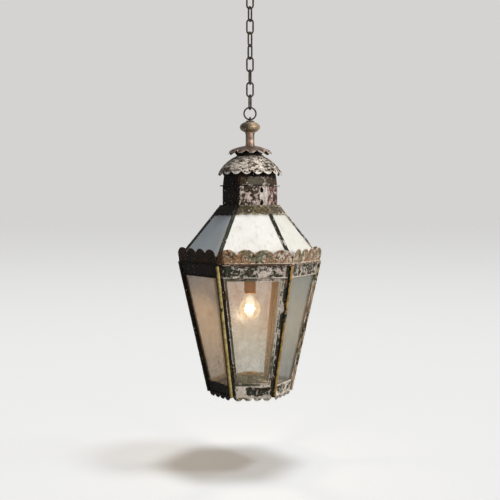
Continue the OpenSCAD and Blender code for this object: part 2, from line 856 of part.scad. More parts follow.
module eye_bolt() {
    collar_z0 = knob_z + knob_h;
    rod_foot = upper_z - seam - nut_h / 2;
    color("dimgray") hung() {
        translate([0, 0, eye_z]) rotate([90, 0, 90]) rotate_extrude(angle = 180)
            translate([eye_rho, 0]) circle(eye_wire_r, $fn = 24);
        for (y = [-eye_rho, eye_rho]) translate([0, y, collar_z0 + collar_t - 0.5])
            cylinder(h = eye_z - collar_z0 - collar_t + 0.5, r = eye_wire_r, $fn = 24);
        translate([0, 0, collar_z0]) cylinder(h = collar_t, r1 = 11.5, r2 = 10.5);
        translate([0, 0, rod_foot]) cylinder(h = collar_z0 - rod_foot + 0.5, r = rod_r);
    }
}

module hanging_ring() {
    color("peru") hung() translate([0, 0, ring_z]) rotate([90, 0, 0])
        rotate_extrude($fn = 64) translate([ring_rho, 0]) circle(ring_wire_r, $fn = 24);
}

// One welded link, standing in the XZ plane
module chain_link() {
    straight = link_half - link_rho;
    for (m = [0, 1]) mirror([0, 0, m]) {
        translate([0, 0, straight]) rotate([90, 0, 0]) rotate_extrude(angle = 180)
            translate([link_rho, 0]) circle(link_wire_r, $fn = 24);
    }
    for (x = [-link_rho, link_rho]) translate([x, 0, -straight])
        cylinder(h = 2 * straight, r = link_wire_r, $fn = 24);
}

module placed_link(n) {
    color("saddlebrown") hung() translate([0, 0, link_z(n)])
        rotate([0, 0, link_turns[n - 1]]) chain_link();
}

module ceiling_hook() {
    shank_top = hook_z + hook_rho + shank_h + shank_in;
    color("saddlebrown") hung() {
        translate([0, 0, hook_z]) rotate([90, 0, 90]) rotate([0, 0, 90]) rotate_extrude(angle = 285)
            translate([hook_rho, 0]) circle(hook_wire_r, $fn = 24);
        translate([0, 0, hook_z]) rotate([15, 0, 0]) translate([0, hook_rho, 0])
            sphere(hook_wire_r, $fn = 24);
        translate([0, 0, hook_z + hook_rho]) cylinder(h = shank_top - hook_z - hook_rho, r = hook_wire_r);
        translate([0, 0, hook_z + hook_rho + 3]) cylinder(h = 2, r = hook_wire_r + 2.2);
    }
}

module ceiling_plate() {
    color("saddlebrown") hung() translate([0, 0, plate_z]) difference() {
        rotate_extrude($fn = 96) polygon([
            [0, 0], [boss_r, 0], [boss_r + 1, boss_h - 3], [boss_r + 4, boss_h], [boss_r + 11, boss_h + 2],
            [plate_r - 10, boss_h + 5], [plate_r - 3, plate_h - 5],
            [plate_r, plate_h - 3.5], [plate_r, plate_h], [0, plate_h]
        ]);
        translate([0, 0, -1]) cylinder(h = shank_in + 2, r = hook_wire_r + seam);
        for (x = [-hole_spacing / 2, hole_spacing / 2]) translate([x, 0, -1])
            cylinder(h = plate_h + 2, r = hole_r);
    }
}

module lamp_tube() {
    tube_foot = holder_top - 10 + 2 * seam;
    color("goldenrod") hung() translate([0, 0, tube_foot]) difference() {
        cylinder(h = tube_top - tube_foot, r = rod_r);
        translate([0, 0, -1]) cylinder(h = tube_top - tube_foot + 2, r = rod_r - 1);
    }
}

module holder_cap() {
    color("goldenrod") hung() translate([0, 0, mouth_z + shell_h + seam]) difference() {
        rotate_extrude() polygon([
            [0, 0], [holder_r + 0.6, 0], [holder_r + 0.6, 2.5], [holder_r, 3], [holder_r - 0.6, 6.5],
            [holder_r - 3.4, 10.5], [holder_r - 7.4, 13], [8.4, 14], [8, holder_cap_h], [0, holder_cap_h]
        ]);
        translate([0, 0, 6]) cylinder(h = holder_cap_h, r = rod_r + seam);
        translate([0, lead_y, 6]) cylinder(h = holder_cap_h, r = lead_r + seam);
        translate([0, 0, -1]) cylinder(h = 5, r = holder_r - 1.5);
    }
}

module holder_shell() {
    color("goldenrod") hung() translate([0, 0, mouth_z]) rotate_extrude() {
        translate([holder_r - shell_t, 0]) square([shell_t, shell_h]);
        translate([holder_r - 0.3, 1.1]) circle(1.1, $fn = 24);
        translate([holder_r - 0.05, shell_h * 0.62]) circle(0.7, $fn = 24);
    }
}

module holder_core() {
    bore = cap_r + 0.6;
    outer = holder_r - shell_t - seam;
    floor_h = 2 + cap_h + 2.4 + play;
    color("white") hung() translate([0, 0, mouth_z]) rotate_extrude() polygon([
        [bore, 9], [outer, 9], [outer, shell_h - 1], [holder_r - 1.7, shell_h - 1],
        [holder_r - 1.7, shell_h + 3.9], [0, shell_h + 3.9], [0, floor_h], [bore, floor_h]
    ]);
}

module inner_lead() {
    turn_z = inlet_z - lead_bend;
    turn_y = lead_y + lead_bend;
    entry = inlet_y - 6 - play;
    foot = mouth_z + shell_h + seam + 6 + play;
    color("black") hung() {
        translate([0, lead_y, foot]) cylinder(h = turn_z - foot, r = lead_r, $fn = 24);
        translate([0, turn_y, turn_z]) rotate([90, 0, 90]) rotate([0, 0, 90]) rotate_extrude(angle = 90)
            translate([lead_bend, 0]) circle(lead_r, $fn = 24);
        translate([0, entry, inlet_z]) rotate([90, 0, 0]) cylinder(h = entry - turn_y, r = lead_r, $fn = 24);
    }
}

// Half outline of the pear-shaped bulb, drawn in by inset all round
module bulb_outline(inset) {
    r = bulb_r - inset;
    neck = bulb_neck - inset;
    neck_foot = mouth_z + 1 - bulb_z;
    circle(r, $fn = 96);
    polygon([[0, 0], [r * cos(32), r * sin(32)], [neck + 2, neck_foot - 12], [neck, neck_foot - 4],
        [neck, neck_foot + 1], [0, neck_foot + 1]]);
}

module bulb_glass() {
    color("lightyellow", 0.5) hung() translate([0, 0, bulb_z]) rotate_extrude($fn = 96)
        difference() {
            intersection() {
                bulb_outline(0);
                translate([0, -bulb_r]) square([bulb_r + 1, bulb_r + mouth_z + 2 - bulb_z - seam]);
            }
            bulb_outline(bulb_wall);
            translate([-1, 0]) square([bulb_neck - bulb_wall + 1, mouth_z + 3 - bulb_z]);
        }
}

module bulb_cap() {
    color("silver") hung() translate([0, 0, mouth_z + 2]) {
        difference() {
            cylinder(h = cap_h, r = cap_r);
            translate([0, 0, -1]) cylinder(h = cap_h - 1.5, r = cap_r - 0.8);
        }
        translate([0, 0, cap_h]) cylinder(h = 2.4, r1 = 5, r2 = 3.5);
    }
}

module bulb_mount() {
    color("white", 0.6) hung() translate([0, 0, bulb_z]) {
        translate([0, 0, 16]) cylinder(h = mount_top - 16.5, r1 = 2.4, r2 = 6);
        translate([0, 0, mount_top - 1]) cylinder(h = 1, r = bulb_neck - bulb_wall - solder);
        translate([0, 0, filament_z - 1.5]) cylinder(h = 18 - filament_z, r = 1.1, $fn = 24);
        for (z = [filament_z, filament_z + filament_h], a = [30:120:270])
            translate([0, 0, z]) rotate([0, 90, a])
                cylinder(h = filament_ring - filament_wire - solder, r = 0.4, $fn = 24);
    }
}

module bulb_filament() {
    color("orange") hung() translate([0, 0, bulb_z + filament_z]) {
        for (z = [0, filament_h]) translate([0, 0, z]) rotate_extrude()
            translate([filament_ring, 0]) circle(filament_wire, $fn = 24);
        for (a = [0:60:300]) rotate([0, 0, a]) translate([filament_ring, 0, 0])
            cylinder(h = filament_h, r = filament_wire, $fn = 24);
    }
}

ceiling_plate();
ceiling_hook();
placed_link(1);  // chain_link_1
placed_link(2);  // chain_link_2
placed_link(3);  // chain_link_3
placed_link(4);  // chain_link_4
placed_link(5);  // chain_link_5
placed_link(6);  // chain_link_6
placed_link(7);  // chain_link_7
placed_link(8);  // chain_link_8
placed_link(9);  // chain_link_9
hanging_ring();
eye_bolt();
finial_knob();
stem_tube();
small_cap();
cap_neck();
dome_cap();
spacer_tube();
bridge_bar();
coupling_nut();
upper_drum();
drum_ridge();
vent_drum();
cord_inlet_bush();
roof_collar();
roof_apron();
roof_ribs();
roof_panes();
eave_ring();
crown_plates();
crown_moulding();
frieze();
frieze_wires();
corner_posts();
corner_beads();
side_panes();
bottom_rail();
foot_wires();
bottom_border();
floor_plate();
candle_pan();
door_frame();
door_pane();
door_hinge_leaves();
post_hinge_leaves();
hinge_pins();
turn_button();
button_rivet();
lamp_tube();
inner_lead();
holder_cap();
holder_shell();
holder_core();
bulb_glass();
bulb_cap();
bulb_mount();
bulb_filament();
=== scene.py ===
"""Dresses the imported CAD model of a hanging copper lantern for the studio.

Every new piece is worked out in millimetres above the body's foot and is put into its mesh in
metres below the ceiling, so it lies where the CAD node that it stands for lies.
"""
import logging
import math
from dataclasses import dataclass, field
from enum import Enum

import bmesh
import bpy
import numpy as np
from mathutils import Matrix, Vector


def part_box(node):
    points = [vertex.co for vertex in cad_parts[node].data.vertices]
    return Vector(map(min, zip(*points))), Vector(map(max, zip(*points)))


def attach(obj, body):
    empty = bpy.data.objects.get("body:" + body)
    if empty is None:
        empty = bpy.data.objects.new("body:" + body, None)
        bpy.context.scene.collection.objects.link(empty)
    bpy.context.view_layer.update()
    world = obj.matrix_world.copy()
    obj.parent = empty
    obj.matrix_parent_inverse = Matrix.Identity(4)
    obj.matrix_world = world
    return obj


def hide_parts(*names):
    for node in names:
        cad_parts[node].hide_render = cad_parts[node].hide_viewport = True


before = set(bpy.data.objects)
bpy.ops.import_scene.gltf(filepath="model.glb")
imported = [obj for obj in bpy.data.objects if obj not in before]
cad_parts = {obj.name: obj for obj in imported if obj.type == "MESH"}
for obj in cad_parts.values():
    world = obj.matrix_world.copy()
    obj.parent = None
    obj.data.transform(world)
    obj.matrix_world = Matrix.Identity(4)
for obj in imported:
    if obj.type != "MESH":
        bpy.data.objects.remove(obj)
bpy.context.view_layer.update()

log = logging.getLogger("lantern")
MM = 0.001
SIDES = range(6)
Colour = tuple[float, float, float]


# ---------------------------------------------------------------- places on the lantern


def turn(axis: str, degrees: float) -> np.ndarray:
    """Returns the 4 x 4 matrix of a turn about one axis.

    Args:
        axis: "x", "y" or "z".
        degrees: Angle, right-handed.

    Returns:
        Matrix with cosines on the two turned rows and sines beside them.
    """
    c, s = math.cos(math.radians(degrees)), math.sin(math.radians(degrees))
    i, j = {"x": (1, 2), "y": (2, 0), "z": (0, 1)}[axis]
    out = np.eye(4)
    out[i, i] = out[j, j] = c
    out[i, j], out[j, i] = -s, s
    return out


def shift(x: float, y: float, z: float) -> np.ndarray:
    """Returns the 4 x 4 matrix of a move by x, y and z."""
    out = np.eye(4)
    out[:3, 3] = (x, y, z)
    return out


def put(matrix: np.ndarray, points: np.ndarray) -> np.ndarray:
    """Returns points of any grid shape, moved by a 4 x 4 matrix."""
    return points @ matrix[:3, :3].T + matrix[:3, 3]


def top_of(node: str) -> float:
    """Returns the height of a CAD node's top below the ceiling, in millimetres."""
    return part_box(node)[1].z / MM


def foot_of(node: str) -> float:
    """Returns the height of a CAD node's foot below the ceiling, in millimetres."""
    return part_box(node)[0].z / MM


@dataclass(frozen=True)
class Body:
    """Sizes of the six-sided body and roof, in millimetres, the same as in the CAD source."""

    foot_r: float = 114.5
    head_r: float = 196.0
    height: float = 364.0
    leg_w: float = 13.0
    bead_r: float = 4.6
    sheet_t: float = 1.4
    pane_t: float = 3.0
    foot_rail_h: float = 31.5
    frieze_h: float = 36.0
    curb_h: float = 17.9
    ring_t: float = 1.6
    eave_r: float = 190.0
    roof_h: float = 135.5
    roof_top_r: float = 81.5
    play: float = 0.3
    seam: float = 0.1

    @property
    def datum(self) -> float:
        """Height of the ceiling above the body's foot."""
        return self.height - foot_of("eave_ring")

    @property
    def rise(self) -> float:
        """Difference of the two flat radii of the body."""
        return (self.head_r - self.foot_r) * math.cos(math.pi / 6)

    @property
    def face_lean(self) -> float:
        """Lean of a body side, in degrees."""
        return math.degrees(math.atan(self.rise / self.height))

    @property
    def post_lean(self) -> float:
        """Lean of a corner line, in degrees."""
        return math.degrees(math.atan((self.head_r - self.foot_r) / self.height))

    @property
    def edge_lean(self) -> float:
        """Angle between a side's edge and its middle line, in degrees."""
        return math.degrees(math.atan((self.half(self.height) - self.half(0)) / self.up(self.height)))

    @property
    def eave_z(self) -> float:
        """Height of the eaves."""
        return self.height + self.ring_t + self.curb_h

    @property
    def roof_pitch(self) -> float:
        """Pitch of a roof side, in degrees."""
        run = (self.eave_r - self.roof_top_r) * math.cos(math.pi / 6)
        return math.degrees(math.atan(self.roof_h / run))

    @property
    def hip_lean(self) -> float:
        """Lean of a hip line, in degrees."""
        return -math.degrees(math.atan((self.eave_r - self.roof_top_r) / self.roof_h))

    def half(self, z: float) -> float:
        """Returns half the width of a side at a height."""
        return (self.foot_r + (self.head_r - self.foot_r) * z / self.height) / 2

    def up(self, z: float) -> float:
        """Returns the distance up the slope of a side at a height."""
        return z / math.cos(math.radians(self.face_lean))

    def across(self, s: float) -> float:
        """Returns the width across a side of a strip s wide along its edge."""
        return s / math.cos(math.radians(self.edge_lean))

    def roof_up(self, h: float) -> float:
        """Returns the distance up a roof side at a height above the eaves."""
        return h / math.sin(math.radians(self.roof_pitch))

    def roof_half(self, h: float) -> float:
        """Returns half the width of a roof side at a height above the eaves."""
        return (self.eave_r + (self.roof_top_r - self.eave_r) * h / self.roof_h) / 2

    def side(self, k: int) -> np.ndarray:
        """Returns the frame of side k: x along it, y up its slope, z outwards."""
        out = shift(0, -self.foot_r * math.cos(math.pi / 6), 0)
        return turn("z", 60 * k) @ out @ turn("x", 90 + self.face_lean)

    def roof(self, k: int) -> np.ndarray:
        """Returns the frame of roof side k: x along the eaves, y up the slope, z outwards."""
        out = shift(0, -self.eave_r * math.cos(math.pi / 6), self.eave_z)
        return turn("z", 60 * k) @ out @ turn("x", self.roof_pitch)

    def corner(self, k: int, r: float, z: float, lean: float) -> np.ndarray:
        """Returns the frame of corner k: x outwards, y round the lantern, z along the corner."""
        return turn("z", 60 * k - 120) @ shift(r, 0, z) @ turn("y", lean)


BODY = Body()


# ---------------------------------------------------------------- mesh forms


@dataclass
class Form:
    """Points, faces and an edge-wear value for each point, in millimetres above the foot."""

    points: np.ndarray
    faces: list[np.ndarray] = field(default_factory=list)
    rim: np.ndarray | None = None

    def placed(self, matrix: np.ndarray) -> "Form":
        """Returns the same form moved by a 4 x 4 matrix."""
        return Form(put(matrix, self.points), self.faces, self.rim)


def joined(forms: list[Form]) -> Form:
    """Returns one form of many, with their faces renumbered.

    Args:
        forms: Forms that belong to one piece.

    Returns:
        Form whose points follow each other in the order of the list.
    """
    starts = np.cumsum([0] + [len(f.points) for f in forms])
    rims = [np.zeros(len(f.points)) if f.rim is None else f.rim for f in forms]
    faces = [face + s for f, s in zip(forms, starts) for face in f.faces]
    return Form(np.concatenate([f.points for f in forms]), faces, np.concatenate(rims))


def wave(p: np.ndarray, pitch: float, seed: float = 0.0) -> np.ndarray:
    """Returns a smooth uneven value from -1 to 1 for each point.

    Five sines with mixed directions and pitches are added, each turned against the last, so the
    sum rises and falls like hand-beaten sheet without repeating.

    Args:
        p: Points, with x, y and z last.
        pitch: Rough distance between two hollows, in millimetres.
        seed: Any number, which gives another pattern.
    """
    out = np.zeros(p.shape[:-1])
    for i in range(5):
        a, b = 2.4 * i + seed, 1.7 * i + 0.6 * seed
        d = np.array([math.cos(a) * math.cos(b), math.sin(a) * math.cos(b), math.sin(b)])
        out = out + np.sin(p @ d * (2 * math.pi / pitch) * (0.7 + 0.23 * i) + 5.1 * i + seed)
    return out / 3.2


def shell(outer: np.ndarray, inner: np.ndarray, keep: np.ndarray | None = None,
          wrap: bool = False, worn: float = 5.0) -> Form:
    """Returns a closed sheet between two grids, with walls round its outline and its holes.

    A cell of the grid gives one face outside and one inside. An edge that only one kept cell has
    lies on the outline and gives a wall. The wear value falls from 1 on the outline to 0 at the
    distance worn from it.

    Args:
        outer: Grid of points, n by m by 3.
        inner: Grid of the same shape, one sheet thickness behind.
        keep: Which of the n - 1 (or n, if wrapped) by m - 1 cells exist.
        wrap: Whether the first axis closes on itself.
        worn: Width of the worn band, in millimetres.
    """
    n, m = outer.shape[:2]
    rows = n if wrap else n - 1
    index = np.arange(n * m).reshape(n, m)
    i, j = np.meshgrid(np.arange(rows), np.arange(m - 1), indexing="ij")
    after = (i + 1) % n
    cells = np.stack([index[i, j], index[after, j], index[after, j + 1], index[i, j + 1]], -1)
    cells = cells[keep] if keep is not None else cells.reshape(-1, 4)
    cells = cells.reshape(-1, 4)
    edges = np.stack([cells, np.roll(cells, -1, 1)], -1).reshape(-1, 2)
    key = np.sort(edges, 1) @ np.array([n * m, 1])
    _, first, count = np.unique(key, return_index=True, return_counts=True)
    open_edges = edges[first[count == 1]]
    a, b = open_edges[:, 0], open_edges[:, 1]
    walls = np.stack([b, a, a + n * m, b + n * m], -1)
    flat = outer.reshape(-1, 3)
    border = flat[np.unique(open_edges)] if len(open_edges) else flat[:1] + 1e6
    gap = np.full(n * m, 1e9)
    for start in range(0, len(border), 400):
        part = border[start:start + 400]
        gap = np.minimum(gap, np.sqrt(((flat[:, None] - part[None]) ** 2).sum(-1)).min(1))
    rim = np.clip(1 - gap / worn, 0, 1)
    return Form(np.concatenate([flat, inner.reshape(-1, 3)]),
                [cells, cells[:, ::-1] + n * m, walls], np.concatenate([rim, rim]))


def lathe(profile: list[tuple[float, float]], steps: int = 96, beat: float = 0.0,
          worn: list[float] | None = None) -> Form:
    """Returns a turned piece: a closed profile of radius and height carried round the z axis.

    Args:
        profile: Closed outline as (radius, height), anticlockwise as seen from the front.
        steps: Facets round the axis.
        beat: Height of uneven waves in its radius, in millimetres.
        worn: Wear value of each point of the profile.
    """
    p = np.array(profile, float)
    a = np.linspace(0, 2 * math.pi, steps, endpoint=False)
    r = p[None, :, 0] * np.ones((steps, 1))
    points = np.stack([r * np.cos(a)[:, None], r * np.sin(a)[:, None],
                       p[None, :, 1] * np.ones((steps, 1))], -1)
    if beat:
        swell = 1 + beat * wave(points, 22, 1.3) / np.maximum(r, 1e-6) * (r > 0.5)
        points[..., :2] *= swell[..., None]
    n, m = steps, len(p)
    index = np.arange(n * m).reshape(n, m)
    around = np.roll(index, -1, 0)
    faces = np.stack([index, around, np.roll(around, -1, 1), np.roll(index, -1, 1)], -1)
    rim = np.zeros(m) if worn is None else np.array(worn, float)
    return Form(points.reshape(-1, 3), [faces.reshape(-1, 4)], np.tile(rim, n))


def tube(path: np.ndarray, radius: float | np.ndarray, around: int = 14,
         closed: bool = False) -> Form:
    """Returns a round wire: a circle carried along a path on frames that don't twist.

    Each frame is the last one, made square to the new direction. On a closed path the small turn
    that is left at the end is shared out along it.

    Args:
        path: Points along the middle of the wire.
        radius: Radius, or one for each point.
        around: Facets round the wire.
        closed: Whether the path ends where it starts.
    """
    n = len(path)
    if closed:
        ahead = np.roll(path, -1, 0) - np.roll(path, 1, 0)
    else:
        ahead = np.gradient(path, axis=0)
    ahead = ahead / np.linalg.norm(ahead, axis=1)[:, None]
    side = np.zeros((n, 3))
    seed = np.array([0.31, 0.17, 0.93]) if abs(ahead[0, 2]) < 0.9 else np.array([1.0, 0.13, 0])
    for i in range(n):
        v = seed - ahead[i] * (seed @ ahead[i])
        seed = side[i] = v / np.linalg.norm(v)
    if closed:
        last = side[0] - ahead[0] * (side[0] @ ahead[0])
        other = np.cross(ahead[0], side[-1])
        off = math.atan2(last @ other, last @ side[-1])
        share = off * np.arange(n) / n
        side = side * np.cos(share)[:, None] + np.cross(ahead, side) * np.sin(share)[:, None]
    up = np.cross(ahead, side)
    a = np.linspace(0, 2 * math.pi, around, endpoint=False)
    r = np.broadcast_to(np.asarray(radius, float), (n,))[:, None, None]
    ring = side[:, None] * np.cos(a)[None, :, None] + up[:, None] * np.sin(a)[None, :, None]
    points = path[:, None] + ring * r
    index = np.arange(n * around).reshape(n, around)
    nxt = np.roll(index, -1, 0) if closed else index[1:]
    cur = index if closed else index[:-1]
    quads = np.stack([cur, np.roll(cur, -1, 1), np.roll(nxt, -1, 1), nxt], -1).reshape(-1, 4)
    faces = [quads]
    if not closed:
        faces += [index[:1, ::-1], index[-1:]]
    return Form(points.reshape(-1, 3), faces, np.zeros(n * around))


def bar(section: np.ndarray, place: np.ndarray, levels: np.ndarray, worn: np.ndarray,
        dents: float = 0.0, seed: float = 0.0) -> Form:
    """Returns a long piece: a closed section carried along a leaning line, with level ends.

    Each corner of the section runs along the line's direction until it meets the level, so both
    ends are horizontal.

    Args:
        section: Closed outline, n by 2, in the place's x and y.
        place: Frame of the line, with z along it.
        levels: Heights of the rings.
        worn: Wear value of each corner of the section.
        dents: Height of uneven dents, in millimetres.
        seed: Number of the dent pattern.
    """
    base = put(place, np.column_stack([section, np.zeros(len(section))]))
    along = place[:3, 2]
    t = (levels[:, None] - base[None, :, 2]) / along[2]
    points = base[None] + t[..., None] * along
    if dents:
        push = dents * wave(points, 46, seed)[..., None]
        points = points + push * place[:3, 0]
    n, m = len(levels), len(section)
    index = np.arange(n * m).reshape(n, m)
    quads = np.stack([index[:-1], np.roll(index[:-1], -1, 1), np.roll(index[1:], -1, 1), index[1:]], -1)
    return Form(points.reshape(-1, 3), [quads.reshape(-1, 4), index[:1, ::-1], index[-1:]],
                np.tile(worn, n))


def hoop(profile: list[tuple[float, float]], per_side: int = 24, dents: float = 0.0,
         worn: list[float] | None = None, seed: float = 0.0) -> Form:
    """Returns a six-sided ring: a closed profile of corner radius and height carried round.

    A point on a side is the straight blend of its two corners. Dents push it outwards and in.

    Args:
        profile: Closed outline as (corner radius, height).
        per_side: Steps along each side.
        dents: Height of uneven dents, in millimetres.
        worn: Wear value of each point of the profile.
        seed: Number of the dent pattern.
    """
    p = np.array(profile, float)
    angle = np.radians(60 * np.arange(7) - 120)
    corner = np.stack([np.cos(angle), np.sin(angle)], -1)
    share = np.linspace(0, 1, per_side, endpoint=False)
    line = (corner[:-1, None] * (1 - share)[None, :, None] + corner[1:, None] * share[None, :, None])
    line = line.reshape(-1, 2)
    points = np.concatenate([line[:, None] * p[None, :, :1],
                             np.broadcast_to(p[None, :, 1:], (len(line), len(p), 1))], -1)
    if dents:
        out = line / np.linalg.norm(line, axis=1)[:, None]
        points[..., :2] += out[:, None] * (dents * wave(points, 38, seed))[..., None]
        points[..., 2] += dents * 0.5 * wave(points, 55, seed + 2)
    n, m = len(line), len(p)
    index = np.arange(n * m).reshape(n, m)
    around = np.roll(index, -1, 0)
    faces = np.stack([index, around, np.roll(around, -1, 1), np.roll(index, -1, 1)], -1)
    rim = np.zeros(m) if worn is None else np.array(worn, float)
    return Form(points.reshape(-1, 3), [faces.reshape(-1, 4)], np.tile(rim, n))


def dome_cells(centres: np.ndarray, outwards: np.ndarray, radius: float, rise: float) -> Form:
    """Returns many small round heads, each a cap of 8 by 3 faces on its own spot.

    A head is rings of a circle whose radius follows a quarter of an ellipse up to its crown.

    Args:
        centres: Middle of each head's seat.
        outwards: Unit direction of each head.
        radius: Radius of a head.
        rise: Height of a head.
    """
    ref = np.where(np.abs(outwards[:, 2:]) > 0.9, [[1.0, 0, 0]], [[0, 0, 1.0]])
    u = np.cross(ref, outwards)
    u /= np.linalg.norm(u, axis=1)[:, None]
    v = np.cross(outwards, u)
    a = np.linspace(0, 2 * math.pi, 8, endpoint=False)
    levels = np.radians([-14, 22, 58])
    ring = u[:, None] * np.cos(a)[None, :, None] + v[:, None] * np.sin(a)[None, :, None]
    points = (centres[:, None, None] + ring[:, None] * (radius * np.cos(levels))[None, :, None, None]
              + outwards[:, None, None] * (rise * np.sin(levels))[None, :, None, None])
    crown = centres + outwards * rise
    n = len(centres)
    index = np.arange(n * 24).reshape(n, 3, 8)
    nxt = np.roll(index, -1, 2)
    quads = np.stack([index[:, :-1], nxt[:, :-1], nxt[:, 1:], index[:, 1:]], -1).reshape(-1, 4)
    tip = np.broadcast_to((n * 24 + np.arange(n))[:, None], (n, 8))
    fans = np.stack([index[:, 2], nxt[:, 2], tip], -1).reshape(-1, 3)
    under = index[:, 0, ::-1]
    return Form(np.concatenate([points.reshape(-1, 3), crown]), [quads, fans, under],
                np.zeros(n * 25))


def make(name: str, form: Form, finish: bpy.types.Material, body: str,
         nodes: tuple[str, ...] = (), crease: float = 38.0) -> bpy.types.Object:
    """Puts a form into a mesh object that rides on a body.

    Args:
        name: Name of the piece.
        form: Its points and faces, in millimetres above the foot.
        finish: Material of the whole piece.
        body: CAD body that it moves with.
        nodes: CAD nodes that it stands for.
        crease: Angle between two faces above which the edge stays sharp, in degrees.

    Returns:
        The new object, at the origin, with its place in its mesh.
    """
    points = form.points.copy()
    points[:, 2] -= BODY.datum
    mesh = bpy.data.meshes.new(name)
    mesh.from_pydata((points * MM).tolist(), [], [f for g in form.faces for f in g.tolist()])
    rim = np.zeros(len(points)) if form.rim is None else form.rim
    mesh.attributes.new("rim", "FLOAT", "POINT").data.foreach_set("value", rim.astype(np.float32))
    work = bmesh.new()
    work.from_mesh(mesh)
    bmesh.ops.remove_doubles(work, verts=work.verts, dist=2e-6)
    bmesh.ops.dissolve_degenerate(work, edges=work.edges, dist=1e-6)
    bmesh.ops.recalc_face_normals(work, faces=work.faces)
    work.to_mesh(mesh)
    work.free()
    mesh.shade_smooth()
    mesh.set_sharp_from_angle(angle=math.radians(crease))
    mesh.materials.append(finish)
    piece = bpy.data.objects.new(name, mesh)
    bpy.context.scene.collection.objects.link(piece)
    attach(piece, body)
    if nodes:
        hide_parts(*nodes)
    log.info("%s: %d faces on %s", name, len(mesh.polygons), body)
    return piece


def dress(node: str, finish: bpy.types.Material) -> None:
    """Gives a CAD node that stays its finish."""
    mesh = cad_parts[node].data
    mesh.materials.clear()
    mesh.materials.append(finish)


# ---------------------------------------------------------------- finishes


class Graph:
    """A node tree that is being wired: adds nodes, sets their sockets and links them."""

    def __init__(self, tree: bpy.types.NodeTree) -> None:
        """Takes an empty node tree."""
        self.tree = tree

    def add(self, kind: str, settings: dict[str, object] | None = None,
            **sockets: object) -> bpy.types.Node:
        """Adds a node.

        Args:
            kind: Blender's name of the node type, without its ShaderNode prefix.
            settings: Properties of the node itself.
            **sockets: Input sockets by name, spaces as underscores, or by index as i0, i1. A value
                that is a socket is linked, and any other is set.

        Returns:
            The new node.
        """
        node = self.tree.nodes.new("ShaderNode" + kind)
        for key, value in (settings or {}).items():
            setattr(node, key, value)
        for key, value in sockets.items():
            by_index = key[0] == "i" and key[1:].isdigit()
            socket = node.inputs[int(key[1:])] if by_index else node.inputs[key.replace("_", " ")]
            if isinstance(value, bpy.types.NodeSocket):
                self.tree.links.new(value, socket)
            else:
                socket.default_value = value
        return node

    def math(self, operation: str, a: object, b: object = 0.0, clamp: bool = False) -> object:
        """Returns the result of a Math node on two numbers or sockets."""
        node = self.add("Math", {"operation": operation, "use_clamp": clamp}, i0=a, i1=b)
        return node.outputs[0]

    def mix(self, share: object, a: object, b: object, blend: str = "MIX") -> object:
        """Returns a blend of two colours, given as tuples or sockets."""
        a, b = (v if isinstance(v, bpy.types.NodeSocket) else (*v, 1.0) for v in (a, b))
        node = self.add("Mix", {"data_type": "RGBA", "blend_type": blend}, i0=share, i6=a, i7=b)
        return node.outputs[2]

    def steps(self, value: object, low: float | object, high: float | object,
              soft: bool = True) -> object:
        """Returns 0 below low and 1 above high, with a smooth rise between them."""
        kind = "SMOOTHSTEP" if soft else "LINEAR"
        node = self.add("MapRange", {"interpolation_type": kind}, i0=value, i1=low, i2=high)
        return node.outputs[0]

    def place(self) -> object:
        """Returns the point on the object, in metres below the ceiling."""
        return self.add("TexCoord").outputs["Object"]

    def noise(self, at: object, scale: float | object, detail: float = 4.0, rough: float = 0.55,
              warp: float = 0.0) -> object:
        """Returns fractal noise of about 0.5 at a point."""
        node = self.add("TexNoise", None, Vector=at, Scale=scale, Detail=detail, Roughness=rough,
                        Distortion=warp)
        return node.outputs["Fac"]


def new_group(name: str, inputs: list[tuple[str, float]], outputs: list[str]) -> bpy.types.NodeTree:
    """Returns an empty node group with named number sockets.

    Args:
        name: Name of the group.
        inputs: Name and default of each input.
        outputs: Names of the outputs.
    """
    tree = bpy.data.node_groups.new(name, "ShaderNodeTree")
    for label, value in inputs:
        socket = tree.interface.new_socket(label, in_out="INPUT", socket_type="NodeSocketFloat")
        socket.default_value = value
    for label in outputs:
        tree.interface.new_socket(label, in_out="OUTPUT", socket_type="NodeSocketFloat")
    return tree


